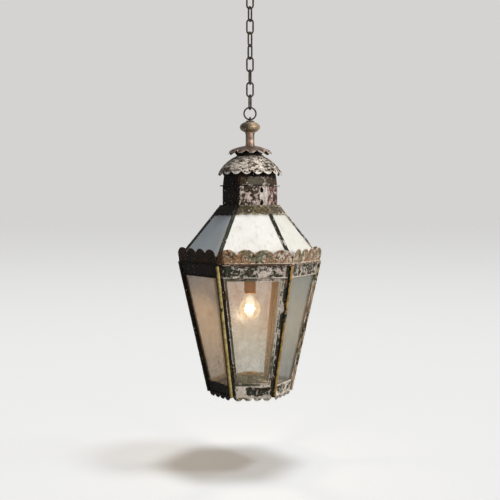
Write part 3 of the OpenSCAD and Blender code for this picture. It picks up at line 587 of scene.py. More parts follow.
def flaking_group() -> bpy.types.NodeTree:
    """Builds the group that says where a coat of paint is left.

    Two noises, one for the patches and one for their ragged edges, are added and compared with a
    level. Worn edges lower the sum. So does the way round the lantern, which runs from -1 on its
    left to 1 on its right, where it leaves the coat's own range. Near a spot the sum is higher.
    """
    tree = new_group("flaking", [
        ("Scale", 60.0), ("Level", 0.5), ("Edge", 0.0), ("Seed", 0.0), ("Drift", 0.0),
        ("Sharp", 0.012), ("Squash", 1.0), ("Ragged", 0.55), ("From", -2.0), ("To", 2.0),
        ("Spot X", 0.0), ("Spot Y", 0.0), ("Spot Z", 0.0), ("Spot R", 1.0), ("Flat", 1.0),
        ("Gain", 0.0)], ["Mask", "Height"])
    g = Graph(tree)
    put_in, put_out = (tree.nodes.new(f"NodeGroup{end}") for end in ("Input", "Output"))
    put_in = put_in.outputs
    spread = g.add("CombineXYZ", None, X=1.0, Y=1.0, Z=put_in["Squash"]).outputs[0]
    at = g.add("VectorMath", {"operation": "MULTIPLY_ADD"}, i0=g.place(), i1=spread,
               i2=put_in["Seed"]).outputs[0]
    broad = g.noise(at, g.math("MULTIPLY", put_in["Scale"], 0.23), 3.0, 0.6)
    ragged = g.noise(at, put_in["Scale"], 9.0, 0.68, 0.35)
    total = g.add("Mix", {"data_type": "FLOAT"}, i0=put_in["Ragged"], i2=broad, i3=ragged).outputs[0]
    rim = g.add("Attribute", {"attribute_name": "rim"}).outputs["Fac"]
    total = g.math("SUBTRACT", total, g.math("MULTIPLY", rim, put_in["Edge"]))
    way = round_way(g)
    total = g.math("ADD", total, g.math("MULTIPLY", way, put_in["Drift"]))
    short = g.math("MAXIMUM", g.math("SUBTRACT", put_in["From"], way), 0.0)
    over = g.math("MAXIMUM", g.math("SUBTRACT", way, put_in["To"]), 0.0)
    total = g.math("SUBTRACT", total, g.math("MULTIPLY", g.math("ADD", short, over), 2.5))
    spot = g.add("CombineXYZ", None, X=put_in["Spot X"], Y=put_in["Spot Y"], Z=put_in["Spot Z"])
    off = g.add("VectorMath", {"operation": "SUBTRACT"}, i0=g.place(), i1=spot.outputs[0]).outputs[0]
    thin = g.add("CombineXYZ", None, X=1.0, Y=1.0, Z=put_in["Flat"]).outputs[0]
    off = g.add("VectorMath", {"operation": "MULTIPLY"}, i0=off, i1=thin).outputs[0]
    off = g.add("VectorMath", {"operation": "LENGTH"}, i0=off).outputs["Value"]
    near = g.steps(off, put_in["Spot R"], g.math("MULTIPLY", put_in["Spot R"], 0.35))
    total = g.math("ADD", total, g.math("MULTIPLY", near, put_in["Gain"]))
    low = g.math("SUBTRACT", put_in["Level"], put_in["Sharp"])
    high = g.math("ADD", put_in["Level"], put_in["Sharp"])
    tree.links.new(g.steps(total, low, high), put_out.inputs["Mask"])
    tree.links.new(g.steps(total, low, g.math("ADD", high, 0.03)), put_out.inputs["Height"])
    return tree


def round_way(g: Graph) -> object:
    """Returns the way round the lantern: x over the distance from its axis, from -1 to 1."""
    axes = g.add("SeparateXYZ", None, Vector=g.place()).outputs
    flat = g.add("CombineXYZ", None, X=axes["X"], Y=axes["Y"], Z=0.0).outputs[0]
    far = g.add("VectorMath", {"operation": "LENGTH"}, i0=flat).outputs["Value"]
    return g.math("DIVIDE", axes["X"], g.math("MAXIMUM", far, 0.001))


def grime_group() -> bpy.types.NodeTree:
    """Builds the group for dirt: broad clouds, and streaks that run down the piece."""
    tree = new_group("grime", [("Scale", 14.0), ("Amount", 0.5), ("Seed", 0.0)],
                     ["Mask", "Streaks"])
    g = Graph(tree)
    put_in, put_out = (tree.nodes.new(f"NodeGroup{end}") for end in ("Input", "Output"))
    put_in = put_in.outputs
    at = g.add("VectorMath", {"operation": "ADD"}, i0=g.place(), i1=put_in["Seed"]).outputs[0]
    clouds = g.noise(at, put_in["Scale"], 5.0, 0.62)
    tall = g.add("Mapping", None, Vector=at, Scale=(1.0, 1.0, 0.09)).outputs[0]
    runs = g.noise(tall, g.math("MULTIPLY", put_in["Scale"], 7.0), 3.0, 0.5)
    tree.links.new(g.math("MULTIPLY", g.steps(clouds, 0.38, 0.66), put_in["Amount"]),
                   put_out.inputs["Mask"])
    tree.links.new(g.math("MULTIPLY", g.steps(runs, 0.5, 0.72), put_in["Amount"]),
                   put_out.inputs["Streaks"])
    return tree


def speck_group() -> bpy.types.NodeTree:
    """Builds the group for small spots: cells of random size with a dot in some of them."""
    tree = new_group("specks", [("Scale", 300.0), ("Size", 0.25), ("Share", 0.5), ("Seed", 0.0)],
                     ["Mask"])
    g = Graph(tree)
    put_in, put_out = (tree.nodes.new(f"NodeGroup{end}") for end in ("Input", "Output"))
    put_in = put_in.outputs
    at = g.add("VectorMath", {"operation": "ADD"}, i0=g.place(), i1=put_in["Seed"]).outputs[0]
    cells = g.add("TexVoronoi", None, Vector=at, Scale=put_in["Scale"])
    pick = g.add("SeparateColor", None, Color=cells.outputs["Color"])
    size = g.math("MULTIPLY", put_in["Size"], pick.outputs[1])
    dot = g.steps(cells.outputs["Distance"], size, g.math("MULTIPLY", size, 0.6))
    share = g.steps(pick.outputs[0], put_in["Share"], g.math("SUBTRACT", put_in["Share"], 0.02))
    tree.links.new(g.math("MULTIPLY", dot, share), put_out.inputs["Mask"])
    return tree


class Groups:
    """The shader groups that the finishes share, each built once."""

    flaking = flaking_group()
    grime = grime_group()
    specks = speck_group()


def begin(name: str) -> tuple[bpy.types.Material, Graph, bpy.types.Node]:
    """Returns a new material, its graph and its Principled shader."""
    material = bpy.data.materials.new(name)
    material.use_nodes = True
    g = Graph(material.node_tree)
    return material, g, material.node_tree.nodes["Principled BSDF"]


def group(g: Graph, tree: bpy.types.NodeTree, **sockets: object) -> bpy.types.NodeOutputs:
    """Places a group in a material and returns its outputs."""
    node = g.tree.nodes.new("ShaderNodeGroup")
    node.node_tree = tree
    for key, value in sockets.items():
        node.inputs[key].default_value = value
    return node.outputs


def wire(g: Graph, shader: bpy.types.Node, **sockets: object) -> None:
    """Links or sets the shader's sockets, given by name with spaces as underscores."""
    for key, value in sockets.items():
        socket = shader.inputs[key.replace("_", " ")]
        if isinstance(value, bpy.types.NodeSocket):
            g.tree.links.new(value, socket)
        else:
            socket.default_value = value


def relief(g: Graph, heights: list[tuple[object, float]]) -> object:
    """Returns a normal from stacked bumps.

    Args:
        g: Graph of the material.
        heights: Height socket and depth in metres of each bump, coarse ones first.
    """
    normal = None
    for height, depth in heights:
        node = g.add("Bump", None, Height=height, Distance=depth, Strength=1.0)
        if normal is not None:
            g.tree.links.new(normal, node.inputs["Normal"])
        normal = node.outputs[0]
    return normal


def srgb(red: int, green: int, blue: int) -> Colour:
    """Returns a linear colour from its 0 to 255 screen values, through the usual curve."""
    scaled = (v / 255 for v in (red, green, blue))
    return tuple(v / 12.92 if v <= 0.04045 else ((v + 0.055) / 1.055) ** 2.4 for v in scaled)


@dataclass(frozen=True)
class Layer:
    """One coat or stain: its two tones, and the settings of the noise that says where it is left.

    Its sides are the range of the way round the lantern that it keeps to. Its spot is a place in
    metres, a radius, how flat it is, and how much more of the coat is left there.
    """

    tone: Colour
    second: Colour
    level: float
    scale: float = 80.0
    seed: float = 0.0
    drift: float = 0.0
    edge: float = 0.0
    squash: float = 1.0
    ragged: float = 0.55
    sides: tuple[float, float] = (-2.0, 2.0)
    spot: tuple[float, float, float, float, float, float] = (0, 0, 0, 1, 1, 0)
    thick: float = 0.0006
    cover: float = 1.0
    sharp: float = 0.014

    def shown(self, g: Graph, seed: float) -> bpy.types.NodeOutputs:
        """Places the flaking group with this coat's settings."""
        x, y, z, radius, flat, gain = self.spot
        return group(g, Groups.flaking, **{
            "Scale": self.scale, "Level": self.level, "Edge": self.edge, "Seed": self.seed + seed,
            "Drift": self.drift, "Sharp": self.sharp, "Squash": self.squash,
            "Ragged": self.ragged, "From": self.sides[0], "To": self.sides[1], "Spot X": x,
            "Spot Y": y, "Spot Z": z, "Spot R": radius, "Flat": flat, "Gain": gain})


def left_side_shade(amount: float = 0.3) -> Layer:
    """Returns painted shade: black laid over the left sides as if they lay in shadow, with small openings at the
    noise's lows.
    """
    return Layer(srgb(7, 6, 5), srgb(17, 15, 12), amount, 150.0, 3.3, sides=(-2.0, -0.5),
                 ragged=0.75, thick=0.0003)


@dataclass(frozen=True)
class Paint:
    """Old sheet metal under coats of paint and stains that flake, each laid over the last."""

    name: str
    base: Colour
    base_b: Colour
    layers: tuple[Layer, ...]
    seed: float = 0.0
    pits: float = 0.5
    dirt: float = 0.5
    metallic: float = 0.35
    dents: float = 0.0022
    flecks: float = 0.1

    def build(self) -> bpy.types.Material:
        """Returns the material.

        Each layer covers the colour so far by its mask. Dirt then darkens the whole, and the bump
        follows the dents, the steps of the coats and a fine grain.
        """
        material, g, shader = begin(self.name)
        at = g.place()
        mottle = g.math("ADD", g.math("MULTIPLY", g.noise(at, 90.0, 6.0, 0.7), 0.6),
                        g.math("MULTIPLY", g.noise(at, 300.0, 3.0, 0.6), 0.4))
        tint = g.steps(mottle, 0.43, 0.58)
        dirt = group(g, Groups.grime, Scale=16.0, Amount=self.dirt, Seed=self.seed + 1.1)
        pits = group(g, Groups.specks, Scale=380.0, Size=0.5, Share=self.pits, Seed=self.seed)
        flecks = group(g, Groups.specks, Scale=230.0, Size=0.62, Share=self.flecks,
                       Seed=self.seed + 0.6)
        fine = g.noise(at, 900.0, 3.0, 0.6)
        heights = [(g.noise(at, 30.0, 2.0, 0.5), self.dents)]
        colour, bare = g.mix(tint, self.base, self.base_b), 1.0
        for i, layer in enumerate(self.layers):
            shown = layer.shown(g, self.seed + 1.7 * i)
            mask = g.math("MULTIPLY", shown["Mask"], layer.cover)
            colour = g.mix(mask, colour, g.mix(tint, layer.tone, layer.second))
            bare = g.math("MULTIPLY", bare, g.math("SUBTRACT", 1.0, mask))
            heights.append((shown["Height"], layer.thick))
        colour = g.mix(g.math("MULTIPLY", pits["Mask"], 0.7), colour, self.base_b)
        colour = g.mix(g.math("MULTIPLY", dirt["Mask"], 0.5), colour, self.base_b)
        colour = g.mix(g.math("MULTIPLY", dirt["Streaks"], 0.4), colour, self.base)
        colour = g.mix(g.math("MULTIPLY", flecks["Mask"], 0.85), colour, srgb(214, 202, 188))
        rough = g.math("ADD", g.math("MULTIPLY", fine, 0.4),
                       g.math("SUBTRACT", 0.5, g.math("MULTIPLY", bare, 0.2)), clamp=True)
        heights.append((g.noise(at, 260.0, 5.0, 0.65), 0.0006))
        wire(g, shader, Base_Color=colour, Roughness=rough, Normal=relief(g, heights),
             Metallic=g.math("MULTIPLY", bare, self.metallic), Specular_IOR_Level=0.1)
        return material


@dataclass(frozen=True)
class OldMetal:
    """Bare metal that has darkened in its hollows and is rubbed bright where it is touched."""

    name: str
    bright: Colour
    dull: Colour
    deep: Colour
    scale: float = 45.0
    rough: float = 0.38
    metallic: float = 0.9
    seed: float = 0.0
    # Painted shade: shift of the tones along x, per metre, which darkens one side of a piece.
    lean: float = 0.0

    def build(self) -> bpy.types.Material:
        """Returns the material: three tones chosen by noise and shifted along x as painted shade, a worn rim, and a
        pitted bump.
        """
        material, g, shader = begin(self.name)
        at = g.add("VectorMath", {"operation": "ADD"}, i0=g.place(), i1=(self.seed,) * 3).outputs[0]
        x = g.add("SeparateXYZ", None, Vector=g.place()).outputs["X"]
        # Painted shade: x times lean is taken from the noise, so one side of the piece comes out darker.
        cloud = g.math("SUBTRACT", g.noise(at, self.scale, 7.0, 0.66, 0.2),
                       g.math("MULTIPLY", x, self.lean))
        speck = g.noise(at, self.scale * 9, 4.0, 0.6)
        rim = g.add("Attribute", {"attribute_name": "rim"}).outputs["Fac"]
        worn = g.math("ADD", g.steps(speck, 0.52, 0.7), g.math("MULTIPLY", rim, 0.8), clamp=True)
        colour = g.mix(g.steps(cloud, 0.4, 0.6), self.deep, self.dull)
        colour = g.mix(g.math("MULTIPLY", worn, 0.8), colour, self.bright)
        pits = group(g, Groups.specks, Scale=520.0, Size=0.3, Share=0.4, Seed=self.seed)
        colour = g.mix(g.math("MULTIPLY", pits["Mask"], 0.8), colour, self.deep)
        rough = g.math("ADD", g.math("MULTIPLY", speck, 0.35), self.rough - 0.12, clamp=True)
        metallic = g.math("MULTIPLY", g.steps(cloud, 0.3, 0.55), self.metallic)
        normal = relief(g, [(cloud, 0.0008), (speck, 0.00025)])
        wire(g, shader, Base_Color=colour, Roughness=rough, Metallic=metallic, Normal=normal,
             Specular_IOR_Level=0.3)
        return material


@dataclass(frozen=True)
class DustyGlass:
    """Old pane: clear glass under dust that changes down and round the lantern, with specks."""

    name: str
    high: Colour = srgb(144, 116, 86)
    low: Colour = srgb(140, 142, 124)
    left: Colour = srgb(160, 140, 104)
    soiled: Colour = srgb(96, 80, 58)
    right: Colour = srgb(84, 98, 92)
    thick: float = 0.2
    seed: float = 0.0
    # Strength of painted light: warm light that the pane gives off near the bulb.
    painted_bulb_light: float = 0.42
    steep: float = 0.0

    def build(self) -> bpy.types.Material:
        """Returns the material, whose alpha is the share of the surface that dirt covers."""
        material, g, shader = begin(self.name)
        at = g.place()
        z = g.add("SeparateXYZ", None, Vector=at).outputs["Z"]
        way = round_way(g)
        cloud = g.noise(at, 9.0, 6.0, 0.62, 0.4)
        fine = g.noise(at, 55.0, 8.0, 0.7)
        dirt = group(g, Groups.grime, Scale=9.0, Amount=1.0, Seed=self.seed)
        dots = group(g, Groups.specks, Scale=170.0, Size=0.3, Share=0.42, Seed=self.seed)
        grit = group(g, Groups.specks, Scale=430.0, Size=0.4, Share=0.5, Seed=self.seed + 2.0)
        down = g.math("ADD", z, g.math("MULTIPLY", g.math("SUBTRACT", cloud, 0.5), 0.25))
        colour = g.mix(g.steps(down, -0.86, -1.04), self.high, self.low)
        stain = g.math("ADD", z, g.math("MULTIPLY", g.math("SUBTRACT", cloud, 0.5), 0.6))
        colour = g.mix(g.steps(way, -0.4, -0.6), colour,
                       g.mix(g.steps(stain, -0.93, -0.84), self.left, self.soiled))
        colour = g.mix(g.steps(way, 0.4, 0.6), colour, self.right)
        colour = g.mix(g.math("MULTIPLY", dots["Mask"], 0.7), colour, srgb(222, 212, 192))
        colour = g.mix(g.math("MULTIPLY", grit["Mask"], 0.6), colour, srgb(80, 62, 44))
        cover = g.math("MULTIPLY", g.steps(cloud, 0.25, 0.75), 0.1)
        cover = g.math("ADD", cover, g.math("MULTIPLY", g.steps(fine, 0.4, 0.75), 0.12))
        cover = g.math("ADD", cover, g.math("MULTIPLY", dirt["Streaks"], 0.05))
        cover = g.math("ADD", cover, self.thick)
        aside = g.steps(g.math("ABSOLUTE", way), 0.45, 0.55)
        cover = g.math("ADD", cover, g.math("MULTIPLY", aside, self.steep))
        marks = g.math("MAXIMUM", dots["Mask"], grit["Mask"])
        cover = g.math("ADD", cover, g.math("MULTIPLY", marks, 0.3), clamp=True)
        rough = g.math("ADD", g.math("MULTIPLY", fine, 0.35), 0.08)
        normal = relief(g, [(g.noise(at, 11.0, 2.0, 0.5), 0.0012), (fine, 0.00006)])
        # Painted light: the pane gives off warm light near the bulb, falling with the cube of the distance from the
        # bulb's middle.
        away = g.add("VectorMath", {"operation": "DISTANCE"}, i0=at,
                     i1=(0.0, 0.0, Lamp().middle)).outputs["Value"]
        fall = g.math("POWER", g.math("DIVIDE", 0.095, away), 3.0, clamp=True)
        warm = g.mix(fall, (0.0, 0.0, 0.0), (1.0, 0.6, 0.28))
        wire(g, shader, Base_Color=colour, Roughness=rough, Alpha=cover, Normal=normal,
             Metallic=0.0, Emission_Color=warm, Emission_Strength=self.painted_bulb_light)
        return material


@dataclass(frozen=True)
class OpalGlass:
    """Milk-white roof glass with faint clouds, rain marks and dark specks, and painted shade: darker tints on its left
    and right sides.
    """

    name: str
    tint: Colour = srgb(234, 232, 227)
    left: Colour = srgb(176, 190, 200)
    right: Colour = srgb(214, 212, 204)
    seed: float = 0.0

    def build(self) -> bpy.types.Material:
        """Returns the material."""
        material, g, shader = begin(self.name)
        at = g.place()
        cloud = g.noise(at, 14.0, 5.0, 0.6)
        dirt = group(g, Groups.grime, Scale=12.0, Amount=1.0, Seed=self.seed)
        grit = group(g, Groups.specks, Scale=240.0, Size=0.22, Share=0.3, Seed=self.seed)
        way = round_way(g)
        # Painted shade: the sides facing left take a darker blue-grey tint, and those facing right a slightly darker
        # grey.
        tint = g.mix(g.steps(way, -0.5, -0.7), self.tint, self.left)
        tint = g.mix(g.steps(way, 0.5, 0.6), tint, self.right)
        colour = g.mix(g.math("MULTIPLY", g.steps(cloud, 0.4, 0.7), 0.35), tint,
                       srgb(190, 188, 176))
        colour = g.mix(g.math("MULTIPLY", dirt["Streaks"], 0.22), colour, srgb(150, 142, 124))
        colour = g.mix(g.math("MULTIPLY", grit["Mask"], 0.7), colour, srgb(120, 108, 88))
        rough = g.math("ADD", g.math("MULTIPLY", cloud, 0.2), 0.08)
        normal = relief(g, [(g.noise(at, 13.0, 2.0, 0.5), 0.0008)])
        wire(g, shader, Base_Color=colour, Roughness=rough, Normal=normal)
        return material


@dataclass(frozen=True)
class Glow:
    """A lit piece: its own colour, and light of its own that is stronger in its middle."""

    name: str
    colour: Colour
    light: Colour
    strength: float
    alpha: float = 1.0
    middle: float = 0.0
    reach: float = 0.03
    rim: float = 1.0

    def build(self) -> bpy.types.Material:
        """Returns the material. The light falls off with height from the middle of the bulb."""
        material, g, shader = begin(self.name)
        z = g.add("SeparateXYZ", None, Vector=g.place()).outputs["Z"]
        off = g.math("ABSOLUTE", g.math("SUBTRACT", z, self.middle))
        near = g.steps(off, self.reach, 0.0)
        fine = g.noise(g.place(), 400.0, 2.0, 0.5)
        light = g.mix(g.math("MULTIPLY", near, g.math("ADD", fine, 0.5), clamp=True),
                      tuple(0.35 * c for c in self.light), self.light)
        edge = g.add("LayerWeight", None, Blend=0.42).outputs["Facing"]
        alpha = g.math("ADD", g.math("MULTIPLY", edge, self.rim * (1.0 - self.alpha)), self.alpha,
                       clamp=True)
        wire(g, shader, Base_Color=(*self.colour, 1.0), Roughness=0.12, Alpha=alpha,
             Emission_Color=light, Emission_Strength=self.strength)
        return material


@dataclass(frozen=True)
class Plain:
    """A small hidden or dull piece: one tone with clouds, fine grain and a soft bump."""

    name: str
    colour: Colour
    second: Colour
    rough: float = 0.5
    metallic: float = 0.0
    scale: float = 60.0

    def build(self) -> bpy.types.Material:
        """Returns the material."""
        material, g, shader = begin(self.name)
        at = g.place()
        cloud = g.noise(at, self.scale, 6.0, 0.6)
        fine = g.noise(at, self.scale * 10, 3.0, 0.6)
        colour = g.mix(g.steps(cloud, 0.4, 0.62), self.colour, self.second)
        rough = g.math("ADD", g.math("MULTIPLY", fine, 0.3), self.rough - 0.15, clamp=True)
        wire(g, shader, Base_Color=colour, Roughness=rough, Metallic=self.metallic,
             Normal=relief(g, [(fine, 0.0002)]))
        return material


# ---------------------------------------------------------------- shapes the sheets share


def rows_to(edge: np.ndarray, straight: list[float], count: int) -> np.ndarray:
    """Returns the heights of a grid whose last rows fan out to an uneven edge.

    The first rows are level. The others are even shares between the last level row and the edge.

    Args:
        edge: Height of the uneven edge in each column.
        straight: Heights of the level rows.
        count: Rows from the last level one to the edge.
    """
    flat = np.repeat(np.array(straight)[None], len(edge), 0)
    share = np.linspace(0, 1, count + 1)[1:]
    fan = flat[:, -1:] + (edge[:, None] - flat[:, -1:]) * share[None]
    return np.concatenate([flat, fan], 1)


def lobe_columns(half: float, count: int, extra: float = 0.0, per_lobe: int = 10) -> np.ndarray:
    """Returns the columns of a lobed strip, closer together beside each notch.

    Args:
        half: Half the strip's width.
        count: Number of lobes.
        extra: Half width of a slit in the middle of each lobe, 0 for none.
        per_lobe: Columns in each lobe.
    """
    pitch = 2 * half / count
    t = (1 - np.cos(np.linspace(0, math.pi, per_lobe + 1))) / 2
    columns = np.concatenate([(i + t) * pitch - half for i in range(count)])
    if extra:
        middle = (np.arange(count) + 0.5) * pitch - half
        columns = np.concatenate([columns, middle - extra, middle + extra])
        near = np.abs(columns[:, None] - middle[None]).min(1)
        columns = columns[(near > extra * 1.6) | np.isclose(near, extra)]
    return np.unique(np.round(columns, 6))


def lobe_rise(x: np.ndarray, half: float, rise: float, count: int) -> np.ndarray:
    """Returns the height of a row of round lobes above their notches.

    Each lobe is the arc of a circle through two notches and a tip.

    Args:
        x: Columns.
        half: Half the width of the row.
        rise: Height of a tip.
        count: Number of lobes.
    """
    pitch = 2 * half / count
    r = (pitch * pitch / 4 + rise * rise) / 2 / rise
    off = (x + half) % pitch - pitch / 2
    off = np.where(np.isclose(np.abs(x), half), pitch / 2, off)
    return np.sqrt(np.maximum(r * r - off * off, 0)) - (r - rise)


def bowed(place: np.ndarray, x: np.ndarray, y: np.ndarray, w: np.ndarray, t: float,
          dents: float, seed: float, keep: np.ndarray | None = None, worn: float = 5.0) -> Form:
    """Returns a sheet on a side: a grid of points at heights w above it, dented and thickened.

    The outer face lies at w plus uneven dents. The inner face lies one thickness behind.

    Args:
        place: Frame of the side.
        x: Columns of the grid, n by m.
        y: Rows of the grid, n by m.
        w: Height of the outer face above the side.
        t: Thickness.
        dents: Height of the dents.
        seed: Number of the dent pattern.
        keep: Which cells exist.
        worn: Width of the worn band.
    """
    base = put(place, np.stack([x, y, np.zeros_like(x)], -1))
    lift = w + dents * wave(base, 34, seed)
    outer = put(place, np.stack([x, y, lift], -1))
    inner = put(place, np.stack([x, y, lift - t], -1))
    return shell(outer, inner, keep, worn=worn)


def plate(place: np.ndarray, low: float, high: float, half_low: float, half_high: float, w: float,
          t: float, dents: float = 0.0, seed: float = 0.0, cells: tuple[int, int] = (30, 8),
          worn: float = 5.0) -> Form:
    """Returns a four-sided sheet on a side, narrower at one end.

    Args:
        place: Frame of the side.
        low: Lower edge, up the slope.
        high: Upper edge, up the slope.
        half_low: Half the lower edge.
        half_high: Half the upper edge.
        w: Height of its outer face above the side.
        t: Thickness.
        dents: Height of the dents.
        seed: Number of the dent pattern.
        cells: Cells across and up.
        worn: Width of the worn band.
    """
    u = np.linspace(-1, 1, cells[0] + 1)[:, None]
    v = np.linspace(0, 1, cells[1] + 1)[None]
    x = u * (half_low + (half_high - half_low) * v)
    y = low + (high - low) * v + 0 * u
    return bowed(place, x, y, np.full_like(x, w), t, dents, seed, worn=worn)


def leg_corner(lean: float, s: float, t: float, mirror: bool) -> tuple[float, float]:
    """Returns a point of a corner section, s along a side and t inwards from it.

    Args:
        lean: Lean of the corner line, in degrees.
        s: Distance from the corner along the side.
        t: Depth behind the side.
        mirror: Whether it lies on the other of the two sides.
    """
    a = math.pi - math.atan(math.sqrt(3) / math.cos(math.radians(lean)))
    x, y = s * math.cos(a) - t * math.sin(a), s * math.sin(a) + t * math.cos(a)
    return (x, -y) if mirror else (x, y)


def leg(lean: float, outline: list[tuple[float, float]], mirror: bool) -> np.ndarray:
    """Returns an outline of (s, t) points in the corner's own x and y."""
    return np.array([leg_corner(lean, s, t, mirror) for s, t in outline])


# ---------------------------------------------------------------- sub-assemblies


@dataclass
class Chain:
    """Ceiling plate, hook, nine welded links and the hanging ring."""

    wire_r: float = 2.35
    link_l: float = 44.4
    link_w: float = 22.0
    ring_wire_r: float = 2.25
    turns: tuple[float, ...] = (-10, 58, -12, 54, 120, 186, 252, 176, 103)

    def link(self, n: int) -> Form:
        """Returns one link: wire round a stadium path, thicker and rougher at its weld.

        Args:
            n: Number of the link, from the ceiling down.
        """
        rho, half = self.link_w / 2 - self.wire_r, self.link_l / 2 - self.wire_r
        straight = half - rho
        a = np.linspace(0, math.pi, 22)
        line = np.linspace(-straight, straight, 12)[1:-1]
        path = np.concatenate([
            np.stack([rho * np.cos(a), straight + rho * np.sin(a)], -1),
            np.stack([np.full(10, -rho), -line], -1),
            np.stack([-rho * np.cos(a), -straight - rho * np.sin(a)], -1),
            np.stack([np.full(10, rho), line], -1)])
        path = np.column_stack([path[:, 0], np.zeros(len(path)), path[:, 1]])
        weld = np.exp(-((path[:, 2] - 1.5 * (-1) ** n) / 2.6) ** 2) * (path[:, 0] > rho * 0.8)
        worn = -0.07 * np.clip(np.abs(path[:, 2]) - straight - rho * 0.75, 0, 9)
        form = tube(path, self.wire_r + 0.28 * weld + worn, 14, True)
        form.rim = 0.35 * (np.abs(form.points[:, 2]) > straight + rho * 0.5)
        z = (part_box(f"chain_link_{n}")[0].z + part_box(f"chain_link_{n}")[1].z) / 2 / MM + BODY.datum
        return form.placed(shift(0, 0, z) @ turn("z", self.turns[n - 1]))

    def ring(self) -> Form:
        """Returns the hanging ring: wire round a circle, slightly out of true."""
        low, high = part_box("hanging_ring")
        z, rho = (low.z + high.z) / 2 / MM + BODY.datum, (high.z - low.z) / 2 / MM - self.ring_wire_r
        a = np.linspace(0, 2 * math.pi, 72, endpoint=False)
        path = np.column_stack([rho * np.cos(a), 0 * a, z + rho * np.sin(a)])
        return tube(path, self.ring_wire_r - 0.05 + 0.05 * np.sin(3 * a + 1), 16, True)

    def build(self, metal: bpy.types.Material) -> None:
        """Builds the chain's pieces in one metal."""
        for n in range(1, 10):
            make(f"link_{n}", self.link(n), metal, f"link_{n}", (f"chain_link_{n}",))
        make("swivel_ring", self.ring(), metal, "ring", ("hanging_ring",))
        dress("ceiling_plate", metal)
        dress("ceiling_hook", metal)


@dataclass
class Finial:
    """Eye, ball knob, stem, the two caps and the neck between them."""

    knob_r: float = 28.5
    stem_r: float = 12.6
    rod_r: float = 5.0
    eye_wire_r: float = 2.5
    eye_rho: float = 6.7
    neck_r: float = 28.6
    dome_r: float = 89.0
    dome_lobes: int = 18
    small_r: float = 60.3
    small_lobes: int = 12

    def knob(self) -> Form:
        """Returns the knob: a flattened ball on a flared foot, turned from one profile."""
        z0, h = foot_of("finial_knob") + BODY.datum, top_of("finial_knob") - foot_of("finial_knob")
        a = np.radians(np.linspace(-66, 80, 40))
        rise = (h - 1.6) / 2
        ball = np.stack([self.knob_r * np.cos(a) ** 0.94, h - rise * (1 - np.sin(a))], -1)
        foot = [(self.rod_r + 0.1, 0), (self.stem_r + 1.0, 0), (self.stem_r + 1.4, 0.8),
                (self.stem_r + 1.2, 2.0), (self.stem_r + 0.5, 2.8), (self.stem_r + 2.0, 5.4)]
        profile = foot + [tuple(p) for p in ball] + [(self.rod_r + 0.1, h)]
        return lathe([(r, z0 + z) for r, z in profile], 96, 0.25)

    def stem(self) -> Form:
        """Returns the stem: a rolled tube with a lapped seam and a flared foot."""
        z0, h = foot_of("stem_tube") + BODY.datum, top_of("stem_tube") - foot_of("stem_tube")
        levels = np.linspace(2.6, h, 14)
        outer = [(self.stem_r + 1.4, 0.0), (self.stem_r + 1.4, 1.6)]
        outer += [(self.stem_r - 0.7 * (z / h), z) for z in levels]
        profile = [(self.rod_r + 3, 0)] + outer + [(self.rod_r + 3, h)]
        form = lathe([(r, z0 + z) for r, z in profile], 120, 0.3)
        angle = np.arctan2(form.points[:, 1], form.points[:, 0]) + 1.12
        lap = np.where((angle > 0) & (angle < 0.5), 0.45 * (1 - angle / 0.5), 0.0)
        radius = np.linalg.norm(form.points[:, :2], axis=1)
        outside = radius > self.stem_r - 1.5
        form.points[:, :2] *= (1 + lap * outside / radius)[:, None]
        form.rim = np.where(outside & (np.abs(angle) < 0.07), 1.0, 0.0)
        return form

    def cap(self, node: str, flat_r: float, rim_r: float, drop: float, lobe_out: float,
            lobe_h: float, count: int, t: float, flute: float, seed: float) -> Form:
        """Returns a pressed cap with petals round its rim.

        The profile runs along the flat, down the arc of a sphere and down the rim. Round the cap,
        each petal's edge follows a flattened sine, so it is round below and the notches are
        sharp. Petals stand proud in their middle, and hollow flutes run up from the notches.

        Args:
            node: CAD node that it stands for.
            flat_r: Radius of the flat middle.
            rim_r: Radius at the top of the rim.
            drop: Fall of the sphere.
            lobe_out: Flare of the rim.
            lobe_h: Height of the rim.
            count: Number of petals.
            t: Thickness.
            flute: Depth of the flutes.
            seed: Number of the dent pattern.
        """
        z0 = top_of(node) + BODY.datum
        depth = (rim_r ** 2 + drop ** 2 - flat_r ** 2) / 2 / drop
        ball = math.hypot(flat_r, depth)
        start, end = math.atan2(depth, flat_r), math.atan2(depth - drop, rim_r)
        arc = np.linspace(start, end, 16)
        r = np.concatenate([np.linspace(self.rod_r + 0.1, flat_r, 6)[:-1], ball * np.cos(arc),
                            rim_r + lobe_out * np.linspace(0, 1, 10)[1:]])
        z = np.concatenate([np.zeros(5), ball * np.sin(arc) - depth,
                            -drop - lobe_h * np.linspace(0, 1, 10)[1:]])
        share = np.clip((np.arange(len(r)) - 6) / (len(r) - 7), 0, 1)
        a = np.linspace(0, 2 * math.pi, count * 16, endpoint=False)
        phase = np.cos(count * a)
        petal = np.abs(np.cos(count * a / 2)) ** 0.9
        edge = np.clip((share - 0.62) / 0.38, 0, 1)
        out = flute * share[None] ** 2 * (petal[:, None] - 0.62) * (1 - 0.3 * edge[None])
        fall = (lobe_h + 1.0) * edge[None] ** 1.6 * (1 - petal[:, None])
        radius = r[None] + out - 0.35 * lobe_out * edge[None] * (1 - petal[:, None])
        height = z[None] + fall + 0.5 * phase[:, None] * share[None] * (1 - edge[None])
        outer = np.stack([radius * np.cos(a)[:, None], radius * np.sin(a)[:, None], z0 + height], -1)
        beat = wave(outer, 15, seed) * 0.55 * share[None] + wave(outer, 48, seed + 1) * 0.5 * share[None]
        du = np.roll(outer, -1, 0) - np.roll(outer, 1, 0)
        dv = np.gradient(outer, axis=1)
        normal = np.cross(du, dv)
        normal /= np.linalg.norm(normal, axis=-1)[..., None]
        normal *= np.sign(normal[:, :1, 2:] + 1e-9)
        outer = outer + normal * np.minimum(beat, 0.25)[..., None]
        thick = t * (1 - 0.35 * edge)[None, :, None]
        return shell(outer, outer - normal * thick, wrap=True, worn=8.0)

